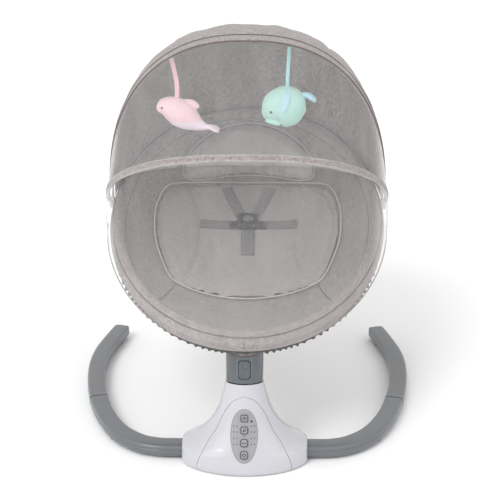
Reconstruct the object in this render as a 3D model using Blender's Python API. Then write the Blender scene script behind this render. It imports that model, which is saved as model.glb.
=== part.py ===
"""Electric baby swing: a C-shaped floor base with a motor housing, a tilted neck that swings,
a reclining oval seat with a fabric basket, and a folding hood with a fly net.

Metres, +Z up. The origin is on the floor under the middle of the motor housing.
The front faces -Y, and +X is on the right of somebody who looks at the front.
"""

from math import atan2, copysign, cos, hypot, pi, radians, sin

import bmesh
import bpy
from mathutils import Matrix, Vector

# ---------------------------------------------------------------- driving dimensions
GAP = 0.0004                      # clearance between pieces that touch
FOOT_HEIGHT = 0.0035              # rubber feet under the legs

# motor housing: height, half width, half depth of its oval sections
HOUSING_SECTIONS = [
    (0.0015, 0.116, 0.075),
    (0.007, 0.118, 0.077),
    (0.020, 0.1170, 0.0752),
    (0.030, 0.1130, 0.0725),
    (0.038, 0.1005, 0.0693),
    (0.050, 0.0810, 0.0632),
    (0.070, 0.0622, 0.0543),
    (0.096, 0.0480, 0.0450),
    (0.127, 0.0385, 0.0375),
    (0.1475, 0.0335, 0.0335),
]
HOUSING_END = 0.110               # the flat ends that take the legs
HOUSING_WALL = 0.003
RIM_HEIGHT = 0.1475
COVER_ARCH = [(0.083, 0.0), (0.0795, 0.0215), (0.0675, 0.044), (0.049, 0.071), (0.034, 0.103), (0.018, 0.126)]
COVER_TOP = 0.135
PANEL_CENTRE = 0.0692             # height of the control panel
PANEL_HALF = (0.0232, 0.0436)     # half width and half height of its oval
BUTTON_HEIGHTS = {"timer_button": 0.0977, "music_button": 0.0781, "swing_button": 0.0578, "power_button": 0.0390}
BUTTON_SIZE = 0.0126
BUTTON_TRAVEL = 0.0012

# neck and swing axis, tilted back
SWING_TILT = radians(12.0)
SWING_ORIGIN = Vector((0.0, 0.0, RIM_HEIGHT))
SWING_AXIS = Vector((0.0, sin(SWING_TILT), cos(SWING_TILT)))
SWING_BACK = Vector((0.0, cos(SWING_TILT), -sin(SWING_TILT)))
NECK_RADIUS = 0.0325
NECK_WALL = 0.0035
NECK_START = 0.0014
NECK_TOP = 0.058
RELEASE_UP = 0.0265                # middle of the release button up the swing axis
RELEASE_HALF_X = 0.0100
RELEASE_HALF_UP = 0.0158
RECLINE_UP = 0.046                # distance of the recline pin up the swing axis
SHAFT_RADIUS = 0.008
SHAFT_BOTTOM = -0.098
RECLINE_AXIS = SWING_ORIGIN + SWING_AXIS * RECLINE_UP

# legs: centre line from the housing to the rear tip, right side
LEG_LINE = [
    (0.086, -0.002), (0.120, -0.002), (0.155, 0.000), (0.190, 0.014), (0.2282, 0.052), (0.2600, 0.118),
    (0.2792, 0.187), (0.2893, 0.248), (0.2935, 0.310), (0.2903, 0.366), (0.2790, 0.420), (0.2612, 0.486),
]
LEG_WIDTH = 0.033
LEG_HEIGHT = 0.0225
LEG_WALL = 0.0026
LEG_BOTTOM = FOOT_HEIGHT + 0.0003
LEG_SPLIT = 0.172                 # Y where the front leg ends and the rear leg begins
SPIGOT_LENGTH = 0.035
FEET = {"front_foot": 0.060, "rear_foot": 0.452}

# seat ring, in the seat's own plane: s runs to the rear, n is square to the plane
RECLINE = radians(17.5)
RING_FRONT = Vector((0.0, -0.047, 0.2375))
RING_A = 0.350                    # half length
RING_B = 0.255                    # half width
SEAT_REAR = Vector((0.0, cos(RECLINE), sin(RECLINE)))
SEAT_UP = Vector((0.0, -sin(RECLINE), cos(RECLINE)))
TUBE_INSET = 0.015                # ring tube centre line, in from the outline
TUBE_RADIUS = 0.0085
TUBE_WALL = 0.0012
SPIGOT_RADIUS = 0.0058
BOWL_INSET = 0.030
BOWL_DEPTH = 0.106
BOWL_RIM = -0.004
COVER_THICKNESS = 0.0018
HEM_DROP = -0.0215
HEM_TURN = 0.003                  # how far the hem turns in under the ring
PAD_LIFT = 0.004                  # the pad's underside over the bowl
PAD_THICKNESS = 0.012
PILLOW_THICKNESS = 0.022
STRAP_LIFT = PAD_LIFT + PAD_THICKNESS + 0.0025
PAD_CENTRE = 0.393
PAD_HALF_S = 0.183
PAD_HALF_X = 0.178
PILLOW_REACH = 0.858              # middle of the head pillow, as a share of the way out to the rim
PILLOW_HALF = 0.115               # half its width up the wall, as a share of that way
PILLOW_TURN = radians(41)         # how far it reaches around the rear wall on each side
RING_STEPS = 48
BUCKLE_S = 0.442
BUCKLE_HALF = 0.021

# hood and net bows, which turn on one pin at each side of the ring
PIVOT_S = 0.390
WIRE_RADIUS = 0.0020
BOW_HEIGHT = 0.331
HOOD_BOW_X = 0.2522
NET_BOW_X = 0.2566
HOOD_ANGLE = radians(81.6)
NET_ANGLE = radians(129.5)
BOW_ROUND = 2.4
CLOTH = 0.0015
CANOPY_START = 0.034              # how far from the pivots the cloth starts
CANOPY_LIFT = 0.0050              # how far the cloth's inner side stands off the bows' centre lines
RIBBON_SEWN_IN = 0.004            # how far a toy's ribbon is sewn into its body
HEM_OUT = 0.0045                  # how far outside the ring's outline the canopies' hems lie
HEM_LINE = -0.0100                # and how far under its plane
REAR_HEM_START = radians(12)      # where the hood's hem starts, as an angle around the ring from its widest place
FRONT_HEM_START = radians(2)


# ---------------------------------------------------------------- helpers
def material(name, colour, roughness, metallic=0.0):
    found = bpy.data.materials.get(name)
    if found:
        return found
    made = bpy.data.materials.new(name)
    made.use_nodes = True
    shader = made.node_tree.nodes["Principled BSDF"]
    shader.inputs["Base Color"].default_value = (*colour, 1.0)
    shader.inputs["Roughness"].default_value = roughness
    shader.inputs["Metallic"].default_value = metallic
    return made


def white():
    return material("white_plastic", (0.78, 0.79, 0.81), 0.25)


def slate():
    return material("slate_plastic", (0.20, 0.22, 0.24), 0.45)


def black():
    return material("black_plastic", (0.03, 0.03, 0.03), 0.5)


def panel_grey():
    return material("panel_grey", (0.42, 0.42, 0.44), 0.4)


def rubber():
    return material("rubber", (0.02, 0.02, 0.02), 0.8)


def steel():
    return material("steel", (0.60, 0.60, 0.62), 0.35, 1.0)


def copper():
    return material("copper", (0.70, 0.35, 0.20), 0.4, 1.0)


def board_green():
    return material("board", (0.03, 0.18, 0.08), 0.5)


def cloth():
    return material("grey_cloth", (0.38, 0.35, 0.34), 0.9)


def net_cloth():
    return material("net_cloth", (0.55, 0.54, 0.54), 0.9)


def webbing():
    return material("webbing", (0.16, 0.16, 0.17), 0.8)


def pink():
    return material("pink_plush", (0.90, 0.62, 0.68), 0.9)


def teal():
    return material("teal_plush", (0.40, 0.76, 0.66), 0.9)


def solid(name, verts, faces, look, smooth=35.0):
    """One closed mesh object from corner points and faces, with its faces turned outwards."""
    mesh = bpy.data.meshes.new(name)
    mesh.from_pydata([tuple(v) for v in verts], [], faces)
    work = bmesh.new()
    work.from_mesh(mesh)
    bmesh.ops.remove_doubles(work, verts=work.verts, dist=1e-6)
    bmesh.ops.recalc_face_normals(work, faces=work.faces)
    work.to_mesh(mesh)
    work.free()
    mesh.shade_smooth()
    mesh.set_sharp_from_angle(angle=radians(smooth))
    mesh.materials.append(look)
    made = bpy.data.objects.new(name, mesh)
    bpy.context.collection.objects.link(made)
    return made


def loft(name, rings, look, loop=False, smooth=35.0):
    """Skin over rings of equal length: capped at both ends, or closed on itself as a loop."""
    count = len(rings[0])
    verts = [point for ring in rings for point in ring]
    faces = []
    last = len(rings) if loop else len(rings) - 1
    for row in range(last):
        here = row * count
        there = ((row + 1) % len(rings)) * count
        for col in range(count):
            nxt = (col + 1) % count
            faces.append((here + col, here + nxt, there + nxt, there + col))
    if not loop:
        faces.append(tuple(range(count))[::-1])
        faces.append(tuple(range((len(rings) - 1) * count, len(rings) * count)))
    return solid(name, verts, faces, look, smooth)


def sheet_solid(name, top, bottom, look):
    """A thin solid between two grids of points of the same size."""
    rows = len(top)
    cols = len(top[0])
    verts = [p for row in top for p in row] + [p for row in bottom for p in row]
    under = rows * cols
    faces = []
    for r in range(rows - 1):
        for c in range(cols - 1):
            a = r * cols + c
            quad = (a, a + 1, a + cols + 1, a + cols)
            faces.append(quad)
            faces.append(tuple(under + i for i in reversed(quad)))
    edge = [(0, c) for c in range(cols)] + [(r, cols - 1) for r in range(1, rows)]
    edge += [(rows - 1, c) for c in range(cols - 2, -1, -1)] + [(r, 0) for r in range(rows - 2, 0, -1)]
    for i, (r, c) in enumerate(edge):
        r2, c2 = edge[(i + 1) % len(edge)]
        a = r * cols + c
        b = r2 * cols + c2
        faces.append((a, under + a, under + b, b))
    return solid(name, verts, faces, look)


def circle(centre, across, along, radius, count, radius2=None):
    second = radius if radius2 is None else radius2
    return [centre + across * (radius * cos(2 * pi * i / count)) + along * (second * sin(2 * pi * i / count))
            for i in range(count)]


def square_to(axis):
    """Two directions square to an axis."""
    helper = Vector((1, 0, 0)) if abs(axis.x) < 0.9 else Vector((0, 1, 0))
    across = helper.cross(axis).normalized()
    return across, axis.cross(across).normalized()


def rod(name, start, end, radius, look, count=20):
    axis = (end - start).normalized()
    across, along = square_to(axis)
    return loft(name, [circle(start, across, along, radius, count), circle(end, across, along, radius, count)], look)


def turned(name, start, axis, profile, look, count=24, loop=False):
    """A body of revolution from (distance along the axis, radius) pairs."""
    across, along = square_to(axis)
    rings = [circle(start + axis * up, across, along, radius, count) for up, radius in profile]
    return loft(name, rings, look, loop)


def washer(name, start, axis, length, outer, inner, look, count=24):
    return turned(name, start, axis, [(0, outer), (length, outer), (length, inner), (0, inner)], look, count, True)


def box(name, centre, across, along, up, size, look, bevel=0.0):
    """A block with its own three directions, with its corners rounded over if asked."""
    half = [side / 2 for side in size]
    corner = [(-1, -1), (1, -1), (1, 1), (-1, 1)]
    rings = [[centre + across * (half[0] * i) + along * (half[1] * j) + up * (half[2] * k) for i, j in corner]
             for k in (-1, 1)]
    made = loft(name, rings, look)
    if bevel:
        rounding = made.modifiers.new("rounding", "BEVEL")
        rounding.width = bevel
        rounding.segments = 2
    return made


def rounded_rectangle(half_x, half_y, radius, corner_steps=3):
    points = []
    for turn, (sx, sy) in enumerate([(1, 1), (-1, 1), (-1, -1), (1, -1)]):
        for step in range(corner_steps + 1):
            angle = turn * pi / 2 + step * pi / 2 / corner_steps
            points.append((sx * (half_x - radius) + radius * cos(angle), sy * (half_y - radius) + radius * sin(angle)))
    return points


def boolean(body, tool, operation, solver="EXACT"):
    tool.hide_render = True
    tool.display_type = "WIRE"
    step = body.modifiers.new(tool.name, "BOOLEAN")
    step.operation = operation
    step.object = tool
    step.solver = solver


def cut(body, tool, solver="EXACT"):
    boolean(body, tool, "DIFFERENCE", solver)


def join(body, tool):
    boolean(body, tool, "UNION")


def smooth_line(points, steps):
    """A Catmull-Rom curve through the points, with the given steps for each stretch."""
    padded = [points[0] * 2 - points[1]] + list(points) + [points[-1] * 2 - points[-2]]
    line = []
    for i in range(1, len(padded) - 2):
        p0, p1, p2, p3 = padded[i - 1:i + 3]
        for step in range(steps):
            t = step / steps
            line.append((p1 * 2 + (p2 - p0) * t + (p0 * 2 - p1 * 5 + p2 * 4 - p3) * t ** 2
                         + (p1 * 3 - p0 - p2 * 3 + p3) * t ** 3) / 2)
    return line + [points[-1].copy()]


def swept(name, line, section, look, up=Vector((0, 0, 1)), inner=None):
    """A section carried along a line. With an inner section, an open-ended hollow bar."""
    def rings(outline):
        made = []
        for i, point in enumerate(line):
            ahead = (line[min(i + 1, len(line) - 1)] - line[max(i - 1, 0)]).normalized()
            side = ahead.cross(up).normalized()
            lift = side.cross(ahead).normalized()
            shape = outline(i) if callable(outline) else outline
            made.append([point + side * a + lift * b for a, b in shape])
        return made
    outer = rings(section)
    if inner is None:
        return loft(name, outer, look)
    return loft(name, outer + rings(inner)[::-1], look, loop=True)


def round_section(radius, count=8):
    return [(radius * cos(2 * pi * i / count), radius * sin(2 * pi * i / count)) for i in range(count)]


def pivot(name, location):
    """An empty on a joint's axis."""
    made = bpy.data.objects.new(name, None)
    made.location = location
    made.empty_display_size = 0.03
    bpy.context.collection.objects.link(made)
    return made


def hang_on(parent, *children):
    for child in children:
        child.parent = parent
        child.matrix_parent_inverse = Matrix.Translation(-parent.location)


def on_swing_axis(up, back=0.0, side=0.0):
    return SWING_ORIGIN + SWING_AXIS * up + SWING_BACK * back + Vector((side, 0, 0))


# ---------------------------------------------------------------- motor housing
def housing_size(height):
    """Half width and half depth of the housing at a height, from the section list."""
    for (z0, w0, d0), (z1, w1, d1) in zip(HOUSING_SECTIONS, HOUSING_SECTIONS[1:]):
        if height <= z1:
            t = (height - z0) / (z1 - z0)
            return w0 + (w1 - w0) * t, d0 + (d1 - d0) * t
    return HOUSING_SECTIONS[-1][1:]


def housing_ring(height, half_width, half_depth, end, grow=0.0):
    """One oval section with flat ends, tilted more and more towards the rim."""
    tilt = SWING_TILT * max(0.0, height / RIM_HEIGHT) ** 2
    ring = []
    steps = 44
    for i in range(steps):
        angle = 2 * pi * i / steps
        x = (half_width + grow) * cos(angle)
        y = (half_depth + grow) * sin(angle)
        x = max(-end - grow, min(end + grow, x))
        ring.append(Vector((x, y * cos(tilt), height - y * sin(tilt))))
    return ring


def housing_skin(name, grow, bottom=None, top=None):
    """The housing's outer form, grown or shrunk, as a solid."""
    rings = []
    for height, half_width, half_depth in HOUSING_SECTIONS:
        rings.append(housing_ring(height, half_width, half_depth, HOUSING_END, grow))
    if bottom is not None:
        first = HOUSING_SECTIONS[0]
        rings.insert(0, housing_ring(bottom, first[1], first[2], HOUSING_END, grow))
    if top is not None:
        rings.append([point + SWING_AXIS * top for point in rings[-1]])
    return loft(name, rings, white())


def arch_tool(name, shrink):
    """A prism along Y over the front arch, from its half outline."""
    right = [(x - shrink, z) for x, z in COVER_ARCH] + [(0.0, COVER_TOP - shrink)]
    left = [(-x, z) for x, z in reversed(right[:-1])]
    outline = right + left
    outline = [(x, z if i not in (0, len(outline) - 1) else -0.01) for i, (x, z) in enumerate(outline)]
    rings = [[Vector((x, y, z)) for x, z in outline] for y in (-0.12, -0.008)]
    return loft(name, rings, white())


def panel_tool(name, grow, near=-0.12, far=-0.03):
    steps = 32
    rings = [[Vector(((PANEL_HALF[0] + grow) * cos(2 * pi * i / steps), y,
                      PANEL_CENTRE + (PANEL_HALF[1] + grow) * sin(2 * pi * i / steps))) for i in range(steps)]
             for y in (near, far)]
    return loft(name, rings, white())


def leg_section(grow=0.0):
    return rounded_rectangle(LEG_WIDTH / 2 + grow, LEG_HEIGHT / 2 + grow, 0.006 + max(grow, -0.003), 2)


def housing_parts():
    shell = housing_skin("housing_shell", 0.0)
    cut(shell, housing_skin("cut_housing_inside", -HOUSING_WALL, bottom=-0.01, top=0.01))
    cut(shell, arch_tool("cut_cover_opening", 0.0))
    for side, sign in (("left", -1), ("right", 1)):
        line = [Vector((sign * x, -0.002, LEG_BOTTOM + LEG_HEIGHT / 2)) for x in (0.100, 0.125)]
        cut(shell, swept(f"cut_leg_socket_{side}", line, leg_section(GAP), white()), "MANIFOLD")
    cut(shell, rod("cut_dc_hole", Vector((0.03, 0.05, 0.021)), Vector((0.03, 0.09, 0.021)), 0.0056, white()),
        "MANIFOLD")
    cut(shell, box("cut_speaker_slot", Vector((-0.03, 0.066, 0.040)), Vector((1, 0, 0)), Vector((0, 1, 0)),
                   Vector((0, 0, 1)), (0.026, 0.03, 0.0022), white()), "MANIFOLD")

    cover = housing_skin("front_cover", -0.0001)
    cut(cover, housing_skin("cut_cover_inside", -HOUSING_WALL, bottom=-0.01, top=0.01))
    boolean(cover, arch_tool("keep_cover_arch", GAP), "INTERSECT")
    cut(cover, panel_tool("cut_panel_opening", GAP))

    panel = housing_skin("control_panel", 0.0005)
    cut(panel, housing_skin("cut_panel_inside", -0.0022, bottom=-0.01, top=0.01))
    boolean(panel, panel_tool("keep_panel_oval", 0.0), "INTERSECT")

    for name, height in BUTTON_HEIGHTS.items():
        centre, outward = panel_spot(height)
        along = outward.cross(Vector((1, 0, 0)))
        shape = rounded_rectangle(BUTTON_SIZE / 2, BUTTON_SIZE / 2, 0.0035)
        wide = rounded_rectangle(BUTTON_SIZE / 2 + GAP, BUTTON_SIZE / 2 + GAP, 0.0038)
        rings = [[centre + outward * up + Vector((1, 0, 0)) * a + along * b for a, b in shape]
                 for up in (-0.0050, 0.0016)]
        button = loft(name, rings, panel_grey())
        hole = [[centre + outward * up + Vector((1, 0, 0)) * a + along * b for a, b in wide]
                for up in (-0.009, 0.006)]
        cut(panel, loft(f"cut_{name}", hole, white()))
        hang_on(pivot(f"{name}_slide", centre), button)


def front_point(height):
    """The housing's front centre line, from the height of its section."""
    depth = housing_size(height)[1]
    tilt = SWING_TILT * (height / RIM_HEIGHT) ** 2
    return Vector((0, -depth * cos(tilt), height + depth * sin(tilt)))


def panel_spot(height):
    """The point on the front centre line at a height, and the direction square to the surface there."""
    rise = front_point(height).z - height
    base = height - rise
    slope = (front_point(base + 0.006) - front_point(base - 0.006)).normalized()
    return front_point(base), slope.cross(Vector((1, 0, 0))).normalized() * -1


def base_inside():
    plate = [housing_ring(z, HOUSING_SECTIONS[0][1], HOUSING_SECTIONS[0][2], HOUSING_END, -HOUSING_WALL - GAP - 0.001)
             for z in (0.0, 0.003)]
    plate = [[Vector((p.x, p.y, z)) for p in ring] for ring, z in zip(plate, (0.0, 0.003))]
    loft("base_plate", plate, white())

    # the carrier stands on the base plate and holds the two bearings of the swing shaft
    foot = Vector((0, on_swing_axis(-0.05).y, 0.0034))
    carrier = turned("bearing_carrier", on_swing_axis(-0.084), SWING_AXIS, [(0, 0.0160), (0.074, 0.0160)], white())
    for side, sign in (("left", -1), ("right", 1)):
        post = box(f"join_carrier_post_{side}", Vector((sign * 0.026, foot.y, 0.0034 + 0.055)), Vector((1, 0, 0)),
                   Vector((0, 1, 0)), Vector((0, 0, 1)), (0.008, 0.024, 0.110), white())
        join(carrier, post)
    bridge = box("join_carrier_bridge", Vector((0, foot.y, 0.105)), Vector((1, 0, 0)), Vector((0, 1, 0)),
                 Vector((0, 0, 1)), (0.060, 0.020, 0.012), white())
    join(carrier, bridge)
    cut(carrier, rod("cut_carrier_bore", on_swing_axis(-0.09), on_swing_axis(0.0), 0.0114, white(), 24))
    for name, start in (("lower_bearing", -0.082), ("upper_bearing", -0.020)):
        washer(name, on_swing_axis(start), SWING_AXIS, 0.007, 0.0110, SHAFT_RADIUS + GAP, steel())

    coil_centre = on_swing_axis(-0.1215, 0.040)
    washer("drive_coil", coil_centre, SWING_AXIS, 0.008, 0.0150, 0.0055, copper())
    mount_top = coil_centre - SWING_AXIS * 0.0004
    across, along = Vector((1, 0, 0)), SWING_BACK
    top = [mount_top + across * (0.016 * i) + along * (0.015 * j) for i, j in [(-1, -1), (1, -1), (1, 1), (-1, 1)]]
    bottom = [Vector((p.x, p.y, 0.0034)) for p in top]
    loft("coil_mount", [bottom, top], black())

    board_centre, outward = panel_spot(0.066)
    upright = outward.cross(Vector((1, 0, 0)))
    box("control_board", board_centre - outward * 0.0150, Vector((1, 0, 0)), upright, outward,
        (0.036, 0.070, 0.0016), board_green())

    speaker_at = Vector((-0.045, 0.040, 0.0034))
    turned("speaker", speaker_at, Vector((0, 0, 1)), [(0, 0.010), (0.008, 0.010), (0.013, 0.018), (0.016, 0.018)],
           black())
    socket_start = Vector((0.03, 0.058, 0.021))
    turned("dc_socket", socket_start, Vector((0, 1, 0)),
           [(0, 0.0052), (0.0135, 0.0052), (0.0135, 0.0030), (0.003, 0.0030)], black(), 16)


# ---------------------------------------------------------------- legs
def leg_path(sign):
    height = LEG_BOTTOM + LEG_HEIGHT / 2
    return smooth_line([Vector((sign * x, y, height)) for x, y in LEG_LINE], 2)


def split_path(path, y_value):
    """The path up to a Y value and the path after it, with a point on the cut."""
    for i in range(1, len(path)):
        if path[i].y >= y_value > path[i - 1].y and i > 4:
            t = (y_value - path[i - 1].y) / (path[i].y - path[i - 1].y)
            point = path[i - 1].lerp(path[i], t)
            return path[:i] + [point], [point] + path[i:]
    raise ValueError("the leg path doesn't reach the split")


def legs():
    for side, sign in (("left", -1), ("right", 1)):
        path = leg_path(sign)
        front, rear = split_path(path, LEG_SPLIT)
        front_leg = swept(f"front_leg_{side}", front, leg_section(), slate(), inner=leg_section(-LEG_WALL))
        rear_leg(side, path, rear)
        snap(side, sign, path, front_leg)
    feet()


def rear_leg(side, path, rear):
    """The rear leg: a hollow bar with a thinner spigot in front and a rounded, closed tip."""
    spigot = [p for p in path if LEG_SPLIT - SPIGOT_LENGTH < p.y < LEG_SPLIT and abs(p.x) > 0.25]
    start, _ = split_path(path, LEG_SPLIT - SPIGOT_LENGTH)
    line = [start[-1]] + spigot + [rear[0]]
    inner_grow = -LEG_WALL - GAP
    step = (rear[1] - rear[0]).normalized() * 0.0006
    outline = [(p, inner_grow) for p in line[:-1]] + [(rear[0], inner_grow), (rear[0] + step, inner_grow)]
    outline += [(rear[0] + step * 1.01, 0.0)] + [(p, 0.0) for p in rear[1:]]
    tip_way = (rear[-1] - rear[-2]).normalized()
    outline += [(rear[-1] + tip_way * 0.006, -0.0015), (rear[-1] + tip_way * 0.009, -0.005)]
    points = [p for p, _ in outline]
    grows = [g for _, g in outline]
    outer = [leg_ring(points, i, leg_section(grows[i])) for i in range(len(points))]
    hollow = line + rear[1:-1]
    wall = inner_grow - 0.0022
    inner = [leg_ring(hollow, i, leg_section(wall)) for i in range(len(hollow))]
    leg_shell(f"rear_leg_{side}", outer, inner)


def leg_ring(points, i, section):
    ahead = (points[min(i + 1, len(points) - 1)] - points[max(i - 1, 0)]).normalized()
    across = ahead.cross(Vector((0, 0, 1))).normalized()
    return [points[i] + across * a + Vector((0, 0, b)) for a, b in section]


def leg_shell(name, outer, inner):
    """A bar that is open at its start and closed at its end, from outer and inner rings."""
    return loft(name, inner[::-1] + outer, slate())


def snap(side, sign, path, front_leg):
    """The sprung button that locks the rear leg's spigot in the front leg, on the inner side."""
    at_y = LEG_SPLIT - 0.020
    before, after = split_path(path, at_y)
    ahead = (after[1] - before[-2]).normalized()
    inward = ahead.cross(Vector((0, 0, 1))).normalized()
    if inward.x * sign > 0:
        inward = -inward
    centre = before[-1]
    outer_face = centre + inward * (LEG_WIDTH / 2)
    button = rod(f"leg_snap_button_{side}", outer_face - inward * 0.0070, outer_face + inward * 0.0022, 0.0036,
                 slate(), 16)
    for body in (front_leg, bpy.data.objects[f"rear_leg_{side}"]):
        cut(body, rod(f"cut_{body.name}_snap", outer_face - inward * 0.0090, outer_face + inward * 0.006, 0.0041,
                      slate(), 16))
    hang_on(pivot(f"leg_snap_{side}_slide", outer_face), button)


def feet():
    for side, sign in (("left", -1), ("right", 1)):
        path = leg_path(sign)
        for kind, at_y in FEET.items():
            centre = split_path(path, at_y)[0][-1]
            turned(f"{kind}_{side}", Vector((centre.x, centre.y, 0)), Vector((0, 0, 1)),
                   [(0, 0.0110), (FOOT_HEIGHT, 0.0125)], rubber(), 20)


# ---------------------------------------------------------------- neck and swing drive
def neck():
    axis = pivot("swing_axis", SWING_ORIGIN)
    inner = NECK_RADIUS - NECK_WALL
    sleeve = turned("neck_sleeve", SWING_ORIGIN, SWING_AXIS,
                    [(NECK_START, NECK_RADIUS - 0.0005), (NECK_TOP, NECK_RADIUS), (NECK_TOP, inner),
                     (NECK_START + 0.006, inner)], slate(), 32)
    notch = on_swing_axis(NECK_TOP, -0.035)
    cut(sleeve, box("cut_neck_notch", notch, Vector((1, 0, 0)), SWING_BACK, SWING_AXIS, (0.036, 0.03, 0.028), slate()))
    cut(sleeve, rod("cut_neck_pin", RECLINE_AXIS + Vector((-0.05, 0, 0)), RECLINE_AXIS + Vector((0.05, 0, 0)),
                    0.0044, slate(), 16))
    cut(sleeve, rod("cut_neck_shaft", on_swing_axis(-0.01), on_swing_axis(0.02), SHAFT_RADIUS + GAP, slate()))
    shaft = turned("swing_shaft", SWING_ORIGIN, SWING_AXIS, [(SHAFT_BOTTOM, SHAFT_RADIUS), (0.0145, SHAFT_RADIUS)],
                   steel(), 20)
    nut = washer("shaft_nut", on_swing_axis(NECK_START + 0.0065), SWING_AXIS, 0.005, 0.0150,
                 (SHAFT_RADIUS + GAP) / cos(pi / 6), steel(), 6)
    arm_centre = on_swing_axis(-0.0965, 0.020)
    arm = box("magnet_arm", arm_centre, Vector((1, 0, 0)), SWING_BACK, SWING_AXIS, (0.026, 0.066, 0.005), slate(),
              0.001)
    cut(arm, rod("cut_arm_bore", on_swing_axis(-0.11), on_swing_axis(-0.08), SHAFT_RADIUS + GAP, slate()))
    magnet = turned("drive_magnet", on_swing_axis(-0.1055, 0.040), SWING_AXIS, [(0, 0.0095), (0.0062, 0.0095)],
                    steel(), 20)
    pin = rod("recline_pin", RECLINE_AXIS + Vector((-0.0315, 0, 0)), RECLINE_AXIS + Vector((0.0315, 0, 0)), 0.0040,
              steel(), 16)
    button = release_button(sleeve)
    hang_on(axis, sleeve, shaft, nut, arm, magnet, pin, button)


def release_button(sleeve):
    """The rounded slide button in the front of the neck."""
    front = on_swing_axis(RELEASE_UP, -NECK_RADIUS)
    shape = rounded_rectangle(RELEASE_HALF_X, RELEASE_HALF_UP, 0.006)
    wide = rounded_rectangle(RELEASE_HALF_X + GAP, RELEASE_HALF_UP + GAP, 0.0063)

    def rings(outline, inner, outer):
        return [[front - SWING_BACK * depth + Vector((a, 0, 0)) + SWING_AXIS * b for a, b in outline]
                for depth in (inner, outer)]
    button = loft("release_button", rings(shape, -0.0060, 0.0006), slate())
    cut(sleeve, loft("cut_release_button", rings(wide, -0.012, 0.006), slate()))
    return button


# ---------------------------------------------------------------- seat
def seat(s, x, n):
    return RING_FRONT + SEAT_REAR * s + SEAT_UP * n + Vector((x, 0, 0))


def ring_point(angle, inset, n):
    return seat(RING_A + (RING_A - inset) * sin(angle), (RING_B - inset) * cos(angle), n)


def ring_arc(start, end, steps, inset=TUBE_INSET):
    return [ring_point(start + (end - start) * i / steps, inset, 0.0) for i in range(steps + 1)]


def bowl_height(s, x):
    """How far the basket's inner surface lies under the ring's plane."""
    along = (s - RING_A) / (RING_A - BOWL_INSET)
    side = x / (RING_B - BOWL_INSET)
    reach = min(1.0, hypot(along, side))
    steepness = 3.5 + 1.5 * (along / reach if reach > 1e-6 else 0.0)
    return BOWL_RIM - BOWL_DEPTH * (1 - reach ** steepness)


def seat_cover():
    """The fabric basket: a hem, a channel over the ring tube, and the bowl."""
    inside = COVER_THICKNESS
    outer_band = [(HEM_TURN, HEM_DROP), (0.0, -0.004), (0.0045, 0.0095), (0.015, 0.015), (0.0255, 0.0095), (0.030, -0.004)]
    inner_band = [(HEM_TURN + inside, HEM_DROP), (inside, -0.004), (0.0058, 0.0080), (0.015, 0.0131), (0.0242, 0.0080),
                  (0.0282, -0.005)]
    reaches = [0.97, 0.92, 0.84, 0.74, 0.62, 0.46, 0.24]
    rings = []
    for inset, n in outer_band:
        rings.append([ring_point(2 * pi * i / RING_STEPS, inset, n) for i in range(RING_STEPS)])
    for reach in reaches:
        rings.append(bowl_ring(reach, 0.0))
    under = [bowl_ring(reach, inside) for reach in reversed(reaches)]
    for inset, n in reversed(inner_band):
        under.append([ring_point(2 * pi * i / RING_STEPS, inset, n) for i in range(RING_STEPS)])
    cover = basket_solid("seat_cover", rings, under)
    for side, sign in (("left", -1), ("right", 1)):
        notch = box(f"cut_cover_pivot_{side}", seat(PIVOT_S + 0.006, sign * (0.2475 + 0.02), 0.0068), Vector((1, 0, 0)),
                    SEAT_REAR, SEAT_UP, (0.040, 0.072, 0.046), cloth())
        cut(cover, notch)
    return cover


def bowl_ring(reach, under):
    ring = []
    for i in range(RING_STEPS):
        angle = 2 * pi * i / RING_STEPS
        s = RING_A + (RING_A - BOWL_INSET) * reach * sin(angle)
        x = (RING_B - BOWL_INSET) * reach * cos(angle)
        n = bowl_height(s, x)
        if under:
            s = RING_A + (RING_A - BOWL_INSET + under) * reach * sin(angle)
            x = (RING_B - BOWL_INSET + under) * reach * cos(angle)
            n -= under
        ring.append(seat(s, x, n))
    return ring


def basket_solid(name, top_rings, under_rings):
    """Top rings from the hem inwards, then under rings back out, closed with two small fans in the middle."""
    rings = top_rings + under_rings
    count = RING_STEPS
    verts = [p for ring in rings for p in ring]
    faces = []
    middle = len(top_rings) - 1
    for row in range(len(rings)):
        if row == middle:
            continue
        here = row * count
        there = ((row + 1) % len(rings)) * count
        for col in range(count):
            nxt = (col + 1) % count
            faces.append((here + col, here + nxt, there + nxt, there + col))
    top_centre = len(verts)
    verts.append(seat(RING_A, 0.0, BOWL_RIM - BOWL_DEPTH))
    verts.append(seat(RING_A, 0.0, BOWL_RIM - BOWL_DEPTH - COVER_THICKNESS))
    for col in range(count):
        nxt = (col + 1) % count
        faces.append((middle * count + col, middle * count + nxt, top_centre))
        faces.append(((middle + 1) * count + nxt, (middle + 1) * count + col, top_centre + 1))
    return solid(name, verts, faces, cloth())


def ring_tubes():
    """Two front tubes, one rear tube, and a moulded joint at each side that also carries the bows."""
    side_angle = sin_to_angle((PIVOT_S - RING_A) / (RING_A - TUBE_INSET))
    reach = 0.075
    front_gap = 0.1975
    tube = round_section(TUBE_RADIUS)
    bore = round_section(TUBE_RADIUS - TUBE_WALL)
    pieces = []
    for side, mirror in (("left", True), ("right", False)):
        arc = ring_arc(-pi / 2 + front_gap, side_angle - reach - 0.0012, 14)
        joint = side_joint(side, mirror, side_angle, reach)
        if mirror:
            arc = mirrored(arc)
        pieces.append(swept(f"front_tube_{side}", arc, tube, steel(), SEAT_UP, bore))
        pieces.append(joint)
    start = side_angle + reach + 0.0012
    pieces.append(swept("rear_tube", ring_arc(start, pi - start, 26), tube, steel(), SEAT_UP, bore))
    return pieces


def mirrored(points):
    return [Vector((-p.x, p.y, p.z)) for p in points]


def sin_to_angle(value):
    return atan2(value, (1 - value * value) ** 0.5)


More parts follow.
